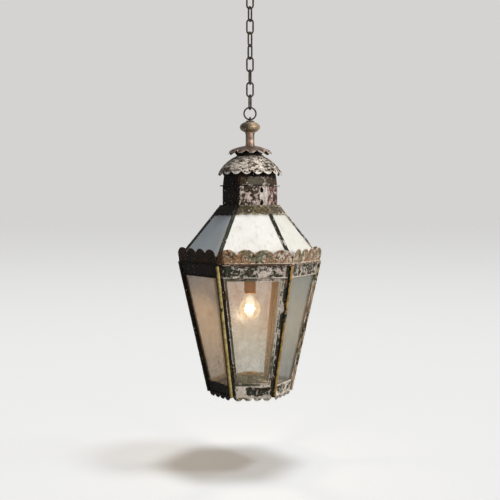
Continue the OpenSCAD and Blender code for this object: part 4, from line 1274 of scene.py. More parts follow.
    def neck(self) -> Form:
        """Returns the black neck: a cove between a wide foot and a narrow head."""
        z0, h = foot_of("cap_neck") + BODY.datum, top_of("cap_neck") - foot_of("cap_neck")
        a = np.radians(np.linspace(-90, 0, 18))
        cove = [(self.neck_r + 16 - 16 * math.cos(x), 16.5 + 16 * math.sin(x)) for x in a]
        profile = [(self.neck_r - 4, 0), (38.5, 0), (38.5, 0.5)] + cove
        profile += [(self.neck_r, h), (self.neck_r - 4, h)]
        cleaned = [p for i, p in enumerate(profile) if p[0] <= 38.5 or i < 3]
        return lathe([(r, z0 + z) for r, z in cleaned], 96, 0.2)

    def eye(self) -> Form:
        """Returns the eye: a loop of rod standing on a turned collar."""
        node_low, node_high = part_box("eye_bolt")
        top = node_high.z / MM + BODY.datum
        z = top - self.eye_rho - self.eye_wire_r
        base = top_of("finial_knob") + BODY.datum
        a = np.linspace(0, math.pi, 30)
        arch = np.column_stack([0 * a, self.eye_rho * np.cos(a), z + self.eye_rho * np.sin(a)])
        legs = [np.array([[0, y, base + 1.0]]) for y in (self.eye_rho, -self.eye_rho)]
        form = tube(np.concatenate([legs[0], arch, legs[1]]), self.eye_wire_r, 16)
        collar = lathe([(0.6, base), (11.5, base), (11.7, base + 0.6), (10.9, base + 1.6),
                        (10.0, base + 1.8), (0.6, base + 1.8)], 48)
        low = node_low.z / MM + BODY.datum
        rod = lathe([(0.4, low), (self.rod_r, low), (self.rod_r, base + 0.5), (0.4, base + 0.5)], 32)
        return joined([form, collar, rod])

    def build(self, bronze: bpy.types.Material, iron: bpy.types.Material,
              brown: bpy.types.Material, black: bpy.types.Material, cream: bpy.types.Material,
              petal: bpy.types.Material) -> None:
        """Builds the finial's pieces.

        Args:
            bronze: Finish of the knob.
            iron: Finish of the eye.
            brown: Finish of the stem.
            black: Finish of the neck.
            cream: Finish of the large cap.
            petal: Finish of the small cap.
        """
        make("ball_knob", self.knob(), bronze, "lantern", ("finial_knob",))
        make("knob_stem", self.stem(), brown, "lantern", ("stem_tube",), 50)
        make("ring_eye", self.eye(), iron, "lantern", ("eye_bolt",))
        make("waist", self.neck(), black, "lantern", ("cap_neck",), 60)
        small = self.cap("small_cap", 16, 55.1, 12.8, 5.2, 10, self.small_lobes, 1.2, 3.2, 2.0)
        make("petal_cap", small, petal, "lantern", ("small_cap",), 50)
        large = self.cap("dome_cap", 39, 85.4, 41.5, 3.6, 11, self.dome_lobes, 1.6, 3.0, 5.0)
        make("scalloped_cap", large, cream, "lantern", ("dome_cap",), 50)


@dataclass
class Drum:
    """The two vent drums, their ridge and the collar that they stand on."""

    drum_r: float = 76.5
    ridge_r: float = 84.5
    foot_r: float = 76.0
    top_r: float = 71.5
    wall: float = 1.3

    def upper(self) -> Form:
        """Returns the upper drum: a six-sided sleeve with rolled edges and shallow dents."""
        z0, z1 = foot_of("upper_drum") + BODY.datum, top_of("upper_drum") + BODY.datum
        t = self.wall / math.cos(math.pi / 6)
        v = np.linspace(0, 1, 9)
        outer = [(self.foot_r + (self.top_r - self.foot_r) * s, z0 + (z1 - z0) * s) for s in v]
        inner = [(r - t, z) for r, z in outer[::-1]]
        worn = [1.0, 0.4, 0, 0, 0, 0, 0, 0.4, 1.0] + [0.0] * 9
        return hoop(outer + inner, 22, 0.45, worn, 3.0)

    def ledge(self, node: str, r: float, r_in: float, seed: float) -> Form:
        """Returns a flat six-sided ring with a rounded outer edge.

        Args:
            node: CAD node that it stands for.
            r: Outer corner radius.
            r_in: Inner corner radius.
            seed: Number of the dent pattern.
        """
        z0, z1 = foot_of(node) + BODY.datum, top_of(node) + BODY.datum
        mid, b = (z0 + z1) / 2, (z1 - z0) / 2
        a = np.radians([-90, -55, -20, 20, 55, 90])
        edge = [(r - b * 1.2 + b * 1.2 * math.cos(x), mid + b * math.sin(x)) for x in a]
        profile = [(r_in, z0)] + edge + [(r_in, z1)]
        worn = [0, 0.1, 0.5, 1, 1, 0.8, 0.3, 0]
        return hoop(profile, 22, 0.3, worn, seed)

    def build(self, sleeve: bpy.types.Material, flakes: bpy.types.Material,
              olive: bpy.types.Material, dark: bpy.types.Material) -> None:
        """Builds the two drums in their flaking paints, and their rings in olive and dark."""
        make("upper_sleeve", self.upper(), sleeve, "lantern", ("upper_drum",))
        make("mid_ridge", self.ledge("drum_ridge", self.ridge_r, 62.5, 1.0), dark, "lantern",
             ("drum_ridge",))
        make("foot_collar", self.ledge("roof_collar", 85.5, 60.5, 2.0), olive, "lantern",
             ("roof_collar",))
        dress("vent_drum", flakes)


@dataclass
class Roof:
    """Eaves, hip ribs, opal panes and the scalloped apron."""

    rib_w: float = 6.0
    rib_t: float = 1.6
    apron_l: float = 30.0
    apron_lobes: int = 4
    apron_t: float = 1.2

    def rib(self, k: int) -> Form:
        """Returns one hip rib: a cap over both panes with a round ridge, a web and a flange.

        Args:
            k: Number of the corner.
        """
        lean, t, w = BODY.hip_lean, self.rib_t, self.rib_w
        ridge = leg_corner(lean, 0, -t, False)[0] + 0.9
        a = np.radians(np.linspace(70, -70, 7))
        crest = np.stack([ridge - 1.2 + 1.9 * np.cos(a), 1.9 * np.sin(a)], -1)
        one = leg(lean, [(2.4, -t), (w - 0.4, -t), (w, -t + 0.5), (w, -0.1), (2.2, 0), (2.2, 3.8),
                         (w + 1.5, 3.8), (w + 1.5, 5.0), (0.4, 5.0)], False)
        section = np.concatenate([crest, one * [1, -1], one[::-1]])
        worn = np.zeros(len(section))
        worn[:7] = 0.7
        worn[8:10] = worn[-3:-1] = 0.9
        top = foot_of("roof_collar") + BODY.datum - 0.1
        place = BODY.corner(k, BODY.eave_r, BODY.eave_z, lean)
        return bar(section, place, np.linspace(BODY.eave_z, top, 36), worn, 0.25, 7.0 + k)

    def apron(self, k: int) -> Form:
        """Returns the apron of one side: a sheet with a ragged, shallowly lobed lower edge.

        Its lobes are arcs, and the edge wanders by a millimetre about them. A band is pressed
        across its upper third.

        Args:
            k: Number of the side.
        """
        top = BODY.roof_up(BODY.roof_h) - 1
        sine = math.sin(math.radians(BODY.roof_pitch))
        half = BODY.roof_half(BODY.roof_h - (self.apron_l + 1) * sine) + 0.8
        high = BODY.roof_half(BODY.roof_h) + 0.8
        u = lobe_columns(half, self.apron_lobes, per_lobe=12)
        rise = lobe_rise(u, half, 4.0, self.apron_lobes)
        ragged = 0.5 * np.sin(u * 1.9 + k * 2) + 0.35 * np.sin(u * 4.1 + 3 * k)
        edge = -(self.apron_l - 4 + rise + np.minimum(ragged, 0.4))
        rows = rows_to(edge, [0, -4, -8, -12, -13, -14, -18], 5)
        fall = -rows / self.apron_l
        x = u[:, None] / half * (high + (half - high) * fall)
        w = 3.0 + 0.8 * np.exp(-((rows + 13) / 1.6) ** 2) + 0.8 * np.clip(fall - 0.7, 0, 1)
        return bowed(BODY.roof(k), x, top + rows, w, self.apron_t, 0.35, 4.0 + k, worn=4.0)

    def eaves(self) -> Form:
        """Returns the eave ring: a flat shelf, an upright curb and its turned-in lip."""
        z = BODY.height
        top = BODY.eave_z - BODY.seam
        r = BODY.eave_r
        out = top_width("eave_ring")
        shelf = hoop([(BODY.head_r - 28, z), (out - 0.6, z), (out, z + 0.5), (out, z + 1.1),
                      (out - 0.6, z + 1.6), (BODY.head_r - 28, z + 1.6)], 20, 0.0,
                     [0, 0.5, 1, 1, 0.5, 0])
        curb = hoop([(r - 2.1, z + 1.0), (r - 0.3, z + 1.0), (r - 0.3, top - 0.4), (r - 0.8, top),
                     (r - 9, top), (r - 9, top - 1.6), (r - 2.1, top - 1.6)], 20, 0.0,
                    [0, 0, 1, 1, 0, 0, 0])
        return joined([shelf, curb])

    def build(self, rib: bpy.types.Material, apron: bpy.types.Material,
              opal: bpy.types.Material, dark: bpy.types.Material) -> None:
        """Builds the roof in its four finishes."""
        make("hip_ribs", joined([self.rib(k) for k in SIDES]), rib, "lantern", ("roof_ribs",))
        make("ragged_apron", joined([self.apron(k) for k in SIDES]), apron, "lantern",
             ("roof_apron",))
        make("eave_shelf", self.eaves(), dark, "lantern", ("eave_ring",))
        dress("roof_panes", opal)


def top_width(node: str) -> float:
    """Returns the corner radius of a six-sided ring from its CAD box, in millimetres."""
    low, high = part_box(node)
    return (high.x - low.x) / 2 / MM


@dataclass
class Crown:
    """Lobed copper plates with open corners, and the base moulding."""

    height: float = 39.0
    rise: float = 12.0
    lobes: int = 4
    t: float = 1.2
    seat_w: float = 1.0
    gap: float = 7.0
    moulding_w: float = 4.7
    moulding_h: float = 3.6

    def plate(self, k: int) -> Form:
        """Returns the plate of one side, with lobes, slits, a pressed line and dished petals.

        Its rows are level up to the slits' heads and then fan out to the lobes. Each lobe
        is dished: its middle stays out and its edges curl in. At both ends the edge
        follows an ellipse down towards the corner, so two plates leave an open notch there.

        Args:
            k: Number of the side.
        """
        z = BODY.height + BODY.ring_t
        tip, foot = BODY.up(z + self.height), BODY.up(z) + 0.6
        notch = tip - self.rise
        half = BODY.half(z + self.height - self.rise) + 0.4
        u = lobe_columns(half, self.lobes, 1.0, 12)
        edge = notch + lobe_rise(u, half, self.rise, self.lobes) \
            + 0.35 * np.sin(u * 0.9 + k) + 0.2 * np.sin(u * 2.3 + 2 * k) - 0.4
        inset = np.clip(1 - (half - np.abs(u)) / 11, 0, 1)
        edge = np.minimum(edge, notch - 13 + 26 * np.sqrt(1 - inset ** 2))
        slit = notch - 16
        line = BODY.up(z + self.height - self.rise - 2)
        levels = [foot, foot + 4, slit - 3, slit, slit + 3.6, slit + 7.4, slit + 11]
        rows = rows_to(edge, levels, 9)
        rows = np.minimum(rows, edge[:, None] - 0.25 * np.arange(rows.shape[1])[::-1])
        low, high = BODY.half(z) + 0.4, BODY.half(z + self.height) - self.gap
        share = (rows - foot) / (tip - foot)
        x = u[:, None] * (low + (high - low) * share) / half
        pitch = 2 * half / self.lobes
        middle = np.cos(((u + half) % pitch / pitch - 0.5) * math.pi)[:, None]
        up = np.clip((rows - slit - 8) / (tip - slit - 8), 0, 1)
        w = self.seat_w + self.t - 0.5 - 1.7 * up ** 1.5 * (1 - middle)
        w = w + 0.7 * np.exp(-((rows - line) / 0.9) ** 2)
        keep = np.ones((len(u) - 1, rows.shape[1] - 1), bool)
        centre = (u[:-1] + u[1:]) / 2
        lobe = np.abs(((centre + half) % pitch) - pitch / 2) < 1.0
        keep[np.ix_(lobe, [3, 4, 5])] = False
        return bowed(BODY.side(k), x, rows, w, self.t, 0.45, 2.0 + 1.7 * k, keep, 3.5)

    def moulding(self) -> Form:
        """Returns the base moulding: a bead with a quirk above it, round the six sides."""
        z, h = BODY.height - self.moulding_h, self.moulding_h
        r0, r1 = BODY.head_r + BODY.seam, BODY.head_r + self.moulding_w
        a = np.radians([-80, -45, -10, 25, 60, 85])
        bead = [(r1 - 2.0 + 2.0 * math.cos(x), z + h * 0.46 + h * 0.46 * math.sin(x)) for x in a]
        profile = [(r0, z)] + bead + [(r1 - 2.2, z + h * 0.94), (r1 - 1.2, z + h), (r0, z + h)]
        worn = [0, 0.2, 0.8, 1, 1, 0.8, 0.3, 0.2, 0.5, 0]
        return hoop(profile, 30, 0.22, worn, 6.0)

    def build(self, copper: bpy.types.Material, rim: bpy.types.Material) -> None:
        """Builds the crown in copper, with its moulding in rubbed metal."""
        make("crown_sheets", joined([self.plate(k) for k in SIDES]), copper, "lantern",
             ("crown_plates",))
        make("base_moulding", self.moulding(), rim, "lantern", ("crown_moulding",))


@dataclass
class Cage:
    """Posts, beads, frieze, rail, wires and the scalloped border of the body."""

    wire_r: float = 1.5
    border_drop: float = 10.4
    border_lobes: int = 4
    grip: float = 5.0
    lip: float = 1.2
    floor_drop: float = 11.5

    @property
    def floor_z(self) -> float:
        """Height of the floor plate's underside."""
        return foot_of("floor_plate") + BODY.datum

    def post(self, k: int) -> Form:
        """Returns one corner post: two legs, each with a channel if a fixed pane meets it.

        Args:
            k: Number of the corner.
        """
        lean, t, w = BODY.post_lean, BODY.sheet_t, BODY.leg_w
        s, d = w - self.grip - 1.7, t + BODY.pane_t + 0.8
        plain = [(0, 0), (w - 0.3, 0), (w, 0.3), (w, t), (0.8, t)]
        deep = [(0, 0), (w - 0.3, 0), (w, 0.3), (w, t), (s + self.lip, t), (s + self.lip, d),
                (w - 1, d), (w - 1, d + self.lip), (s, d + self.lip), (s, t), (0.8, t)]
        forms = []
        for mirror, fixed in ((False, k != 0), (True, k != 1)):
            outline = leg(lean, deep if fixed else plain, mirror)
            worn = np.zeros(len(outline))
            worn[1:3] = 1.0
            place = BODY.corner(k, BODY.foot_r, 0, lean)
            levels = np.linspace(0, BODY.height, 60)
            forms.append(bar(outline, place, levels, worn, 0.3, 11.0 + k))
        return joined(forms)

    def bead(self, k: int) -> Form:
        """Returns the half-round bead on a corner: an arc that closes on the corner's apex.

        Its radius wavers and is nicked here and there, as of hand-run solder.

        Args:
            k: Number of the corner.
        """
        q = math.atan(math.sqrt(3) / math.cos(math.radians(BODY.post_lean)))
        end = math.pi - q + 0.13
        a = np.linspace(-end, end, 15)
        arc = np.stack([0.8 + BODY.bead_r * np.cos(a), BODY.bead_r * np.sin(a)], -1)
        section = np.concatenate([arc, [[BODY.seam + 0.2, 0]]])
        worn = np.concatenate([0.3 + 0.7 * np.clip(np.cos(a), 0, 1), [0]])
        place = BODY.corner(k, BODY.foot_r, 0, BODY.post_lean)
        levels = np.linspace(0, BODY.height - 3.7, 150)
        form = bar(section, place, levels, worn)
        z = form.points[:, 2]
        axis = put(place, np.zeros(3)) + np.outer(z / place[2, 2], place[:3, 2])
        swell = 1 + 0.035 * np.sin(z / 3.1 + k) * np.sin(z / 11.0 + 2 * k) \
            - 0.05 * (np.sin(z / 6.7 + 2 * k) > 0.93)
        form.points = axis + (form.points - axis) * np.minimum(swell, 1.0)[:, None]
        return form

    def wire(self, k: int, z: float, seed: float) -> Form:
        """Returns a round wire along a side at a height, slightly wavy.

        Args:
            k: Number of the side.
            z: Height of the wire.
            seed: Number of its waves.
        """
        half = BODY.half(z) - BODY.bead_r - 3
        x = np.linspace(-half, half, 40)
        y = BODY.up(z) + 0.18 * np.sin(x / 9 + seed) + 0.1 * np.sin(x / 3.7 + 2 * seed)
        path = put(BODY.side(k), np.stack([x, y, np.full_like(x, self.wire_r + 0.05)], -1))
        return tube(path, self.wire_r - 0.05 + 0.05 * np.sin(x / 2.7 + seed), 10)

    def border(self, k: int) -> Form:
        """Returns the border of one side: a strip with half-round scallops, each dished.

        The lower edge is the lower of a straight line and a row of circles. Each scallop bulges
        outwards in its middle.

        Args:
            k: Number of the side.
        """
        half = BODY.half(0) - 6
        pitch = 2 * half / self.border_lobes
        top = BODY.up(1.5) - 0.1
        t = (1 - np.cos(np.linspace(0, math.pi, 13))) / 2
        x = np.unique(np.round(np.concatenate(
            [(i + t) * pitch - half for i in range(self.border_lobes)]), 6))
        off = (x + half) % pitch - pitch / 2
        off = np.where(np.isclose(np.abs(x), half), pitch / 2, off)
        ball = pitch / 2 - self.border_drop - np.sqrt(np.maximum((pitch / 2) ** 2 - off ** 2, 0))
        edge = np.minimum(-self.border_drop + pitch * 0.3, ball)
        edge = edge + 0.05 + 0.2 * np.abs(np.sin(x * 1.1 + 2 * k))
        rows = rows_to(edge, [top, top - 1.5], 8)
        bulge = 1.1 * np.cos(off / pitch * math.pi)[:, None] * np.sin(
            np.clip((top - rows) / (top + self.border_drop), 0, 1) * math.pi)
        return bowed(BODY.side(k), np.repeat(x[:, None], rows.shape[1], 1), rows, 1.85 + bulge, 1.7,
                     0.2, 8.0 + k, worn=3.0)

    def frieze(self, k: int) -> Form:
        """Returns the frieze plate of one side."""
        z0, z1 = BODY.height - BODY.frieze_h, BODY.height - 0.3
        inset = BODY.across(BODY.leg_w + 0.1)
        return plate(BODY.side(k), BODY.up(z0), BODY.up(z1), BODY.half(z0) - inset,
                     BODY.half(z1) - inset, 0.0, BODY.sheet_t, 0.28, 12.0 + k, (44, 10))

    def rail(self, k: int) -> Form:
        """Returns the bottom rail of one side, with its ledge for the floor."""
        inset = BODY.across(BODY.leg_w + 0.1)
        z1 = BODY.foot_rail_h
        front = plate(BODY.side(k), 0, BODY.up(z1), BODY.half(0) - inset, BODY.half(z1) - inset, 0.0,
                      BODY.sheet_t, 0.22, 15.0 + k, (26, 9))
        z = self.floor_z
        w = BODY.half(z) - BODY.leg_w - 2
        y = -2 * BODY.half(z) * math.cos(math.pi / 6) + 1.2
        low = turn("z", 60 * k) @ shift(0, y, z)
        ledge = plate(low, 0, 12.3, w, w, 0.0, BODY.sheet_t, 0.15, 2.0, (10, 3))
        return joined([front, ledge])

    def solder(self) -> Form:
        """Returns the solder blobs where the wires meet the posts, and the frieze's nail heads."""
        spots, outs = [], []
        for k in SIDES:
            place = BODY.side(k)
            for z in (3.0, BODY.height - BODY.frieze_h + 1.5):
                half = BODY.half(z) - BODY.bead_r - 3.0
                for x in (-half, half):
                    spots.append(put(place, np.array([x, BODY.up(z), 0.1])))
                    outs.append(place[:3, 2])
            for z in (BODY.height - 29.5, BODY.height - 11.0):
                for x in (-1, 1):
                    half = BODY.half(z) - BODY.across(9.3)
                    spots.append(put(place, np.array([x * half, BODY.up(z), 0.0])))
                    outs.append(place[:3, 2])
        return dome_cells(np.array(spots), np.array(outs), 1.9, 1.25)

    def build(self, green: bpy.types.Material, front: bpy.types.Material,
              low: bpy.types.Material, gilt: bpy.types.Material, white: bpy.types.Material,
              edge: bpy.types.Material, dull: bpy.types.Material) -> None:
        """Builds the body's metalwork.

        Args:
            green: Finish of the posts.
            front: Finish of the frieze.
            low: Finish of the bottom rail.
            gilt: Finish of the corner beads.
            white: Finish of the wires.
            edge: Finish of the scalloped border.
            dull: Finish of the solder.
        """
        make("angle_posts", joined([self.post(k) for k in SIDES]), green, "lantern",
             ("corner_posts",), 30)
        make("gilt_beads", joined([self.bead(k) for k in SIDES]), gilt, "lantern",
             ("corner_beads",))
        make("frieze_plates", joined([self.frieze(k) for k in SIDES]), front, "lantern",
             ("frieze",))
        make("foot_rails", joined([self.rail(k) for k in SIDES]), low, "lantern",
             ("bottom_rail",))
        head = BODY.height - BODY.frieze_h + self.wire_r
        make("frieze_beading", joined([self.wire(k, head, k) for k in SIDES]), white, "lantern",
             ("frieze_wires",))
        make("foot_beading", joined([self.wire(k, 1.5 + self.wire_r, k + 3.0) for k in SIDES]),
             white, "lantern", ("foot_wires",))
        make("scalloped_border", joined([self.border(k) for k in SIDES]), edge, "lantern",
             ("bottom_border",))
        make("solder_and_nails", self.solder(), dull, "lantern")


@dataclass
class Door:
    """The hinged front: frame, pane, hinges and turn button."""

    gap: float = 0.8
    stile_w: float = 6.5
    lip: float = 1.2

    def frame(self) -> Form:
        """Returns the door frame: a flat face with an opening, and a rim that holds the pane.

        The face's grid has lines at the strips' inner edges, and the cells between them are left
        out. The rim is four plates stood on edge.
        """
        z0 = BODY.foot_rail_h + self.gap
        z1 = BODY.height - BODY.frieze_h - 2 * self.gap
        place, w = BODY.side(0), self.stile_w
        inset = BODY.across(BODY.leg_w + self.gap)
        zs = np.concatenate([[z0, z0 + w / 2, z0 + w], np.linspace(z0 + w, z1 - w, 42)[1:-1],
                             [z1 - w, z1 - w / 2, z1]])
        inner = np.linspace(-1, 1, 21)[:, None]
        half = np.array([BODY.half(z) - inset for z in zs])[None]
        strip = BODY.across(w)
        x = np.concatenate([-half, -half + strip / 2, inner * (half - strip), half - strip / 2,
                            half])
        y = np.repeat(np.array([BODY.up(z) for z in zs])[None], len(x), 0)
        keep = np.ones((x.shape[0] - 1, x.shape[1] - 1), bool)
        keep[2:-2, 2:-2] = False
        face = bowed(place, x, y, np.zeros_like(x), BODY.sheet_t, 0.12, 21.0, keep, 3.5)
        depth, t = BODY.pane_t + 1.6, self.lip
        forms = [face]
        for sign in (-1, 1):
            xs = np.stack([sign * (half[0] - 0.02), sign * (half[0] - BODY.across(t))])
            ring = np.stack([xs[0], y[0], np.full_like(xs[0], -BODY.sheet_t)], -1)
            cells = [ring, np.stack([xs[1], y[0], ring[:, 2]], -1),
                     np.stack([xs[1], y[0], ring[:, 2] - depth], -1),
                     np.stack([xs[0], y[0], ring[:, 2] - depth], -1)]
            grid = put(place, np.stack(cells, 1))
            n = len(grid)
            index = np.arange(n * 4).reshape(n, 4)
            quads = np.stack([index[:-1], np.roll(index[:-1], -1, 1), np.roll(index[1:], -1, 1),
                              index[1:]], -1).reshape(-1, 4)
            forms.append(Form(grid.reshape(-1, 3), [quads, index[:1, ::-1], index[-1:]]))
        for z, step in ((z0, 1), (z1, -1)):
            wide = BODY.half(z) - inset - BODY.across(t)
            lo, hi = sorted((BODY.up(z), BODY.up(z + step * t)))
            forms.append(plate(place, lo, hi, wide, wide, -BODY.sheet_t, depth, 0, 0, (8, 1)))
        return joined(forms)

    def build(self, paint: bpy.types.Material, glass: bpy.types.Material,
              dark: bpy.types.Material, button: bpy.types.Material) -> None:
        """Builds the door's frame and dresses its pane, hinges and button."""
        make("door_surround", self.frame(), paint, "door", ("door_frame",))
        dress("door_pane", glass)
        for node in ("door_hinge_leaves", "post_hinge_leaves", "hinge_pins"):
            dress(node, dark)
        dress("turn_button", button)
        dress("button_rivet", dark)


@dataclass
class Lamp:
    """Holder, bulb, leads and what carries them inside the lantern."""

    mouth_z: float = 274.3
    bulb_r: float = 30.0
    neck_r: float = 13.0
    neck_l: float = 14.5
    wall: float = 0.8

    @property
    def middle(self) -> float:
        """Height of the bulb's middle below the ceiling, in metres."""
        return (self.mouth_z - self.bulb_r - self.neck_l - BODY.datum) * MM

    def outline(self, inset: float) -> list[tuple[float, float]]:
        """Returns the bulb's half outline from its pole to its neck, drawn in by inset.

        It follows a circle up to 32 degrees above its middle, and then a smooth ogee into the
        neck.
        """
        r, neck = self.bulb_r - inset, self.neck_r - inset
        top = self.bulb_r + self.neck_l + 1.5
        a = np.radians(np.linspace(-90, 36, 40))
        ball = np.stack([r * np.cos(a), r * np.sin(a)], -1)
        s = np.linspace(0, 1, 16)[1:, None]
        p0, p3 = ball[-1], np.array([neck, top - 4])
        p1 = p0 + np.array([-math.sin(a[-1]), math.cos(a[-1])]) * 9
        p2 = p3 - np.array([0, 9])
        curve = (1 - s) ** 3 * p0 + 3 * s * (1 - s) ** 2 * p1 + 3 * s * s * (1 - s) * p2 + s ** 3 * p3
        points = np.concatenate([ball, curve, [[neck, top]]])
        return [tuple(p) for p in points]

    def bulb(self) -> Form:
        """Returns the bulb's glass as a closed wall: its outline, and back along the inner one."""
        z = self.mouth_z - self.bulb_r - self.neck_l
        outer, inner = self.outline(0.0), self.outline(self.wall)
        profile = [(max(r, 0.02), z + h) for r, h in outer + inner[::-1]]
        return lathe(profile, 72)

    def pan(self) -> Form:
        """Returns the old candle pan on its stem, with a rolled rim and a socket."""
        z = foot_of("candle_pan") + BODY.datum
        h, r = 20.0, 26.0
        profile = [(0.3, 0), (17, 0), (16.4, 1.4), (16, 2.4), (9, 5), (7.4, 12), (7, h - 1),
                   (12, h - 1), (r - 1.5, h + 2.5), (r, h + 7.2), (r - 0.2, h + 8), (r - 1, h + 8),
                   (r - 1.4, h + 7.4), (r - 3.2, h + 4), (12.5, h + 2.2), (12.5, h + 9.5),
                   (11, h + 9.5), (11, h + 2.2), (0.3, h + 2.2)]
        worn = [0, 0.6, 0.3, 0, 0, 0, 0, 0, 0.5, 1, 1, 1, 0.5, 0, 0, 1, 1, 0, 0]
        return lathe([(a, z + b) for a, b in profile], 72, 0.3, worn)

    def holder(self) -> Form:
        """Returns the holder's shell: a tube with a rolled mouth and a raised band."""
        z, r, h = self.mouth_z, 16.2, 35.0
        a = np.radians(np.linspace(-90, 90, 9))
        mouth = [(r - 0.3 + 1.1 * math.cos(x), 1.1 + 1.1 * math.sin(x)) for x in a]
        band = [(r + 0.6 * math.cos(x), h * 0.62 + 0.9 * math.sin(x)) for x in a]
        outer = mouth + band + [(r, h)]
        profile = [(r - 1, 0.2)] + outer + [(r - 1, h)]
        worn = [0] + [1.0] * 9 + [0.9] * 9 + [0.5, 0]
        return lathe([(q, z + p) for q, p in profile], 72, 0.1, worn)

    def haze(self) -> Form:
        """Returns the lit core of the bulb: nested balls, drawn out upwards, of thin light."""
        z = self.mouth_z - self.bulb_r - self.neck_l
        a = np.radians(np.linspace(-90, 90, 21))
        shells = []
        for share in np.linspace(1.0, 0.3, 6):
            r, h = 14 * share, 34 * share ** 0.4
            profile = [(max(r * math.cos(x), 0.02), z + 9 + h * math.sin(x)) for x in a]
            shells.append(lathe(profile, 32))
        return joined(shells)

    def build(self, glass: bpy.types.Material, light: bpy.types.Material,
              wire: bpy.types.Material, brass: bpy.types.Material, clay: bpy.types.Material,
              black: bpy.types.Material, steel: bpy.types.Material, old: bpy.types.Material,
              stem: bpy.types.Material) -> None:
        """Builds the lamp.

        Args:
            glass: Finish of the bulb.
            light: Finish of the bright haze in the bulb.
            wire: Finish of the filament.
            brass: Finish of the holder and tube.
            clay: Finish of the porcelain core.
            black: Finish of the lead and bush.
            steel: Finish of the bar, spacer and cap.
            old: Finish of the candle pan.
            stem: Finish of the filament's glass mount.
        """
        make("bulb_envelope", self.bulb(), glass, "bulb", ("bulb_glass",))
        make("bulb_haze", self.haze(), light, "bulb")
        make("candle_dish", self.pan(), old, "lantern", ("candle_pan",))
        make("holder_sleeve", self.holder(), brass, "lantern", ("holder_shell",))
        for node, finish in (("bulb_filament", wire), ("bulb_mount", stem), ("bulb_cap", steel),
                             ("holder_cap", brass), ("holder_core", clay), ("lamp_tube", brass),
                             ("inner_lead", black), ("cord_inlet_bush", black),
                             ("bridge_bar", steel), ("coupling_nut", brass),
                             ("spacer_tube", steel)):
            dress(node, finish)


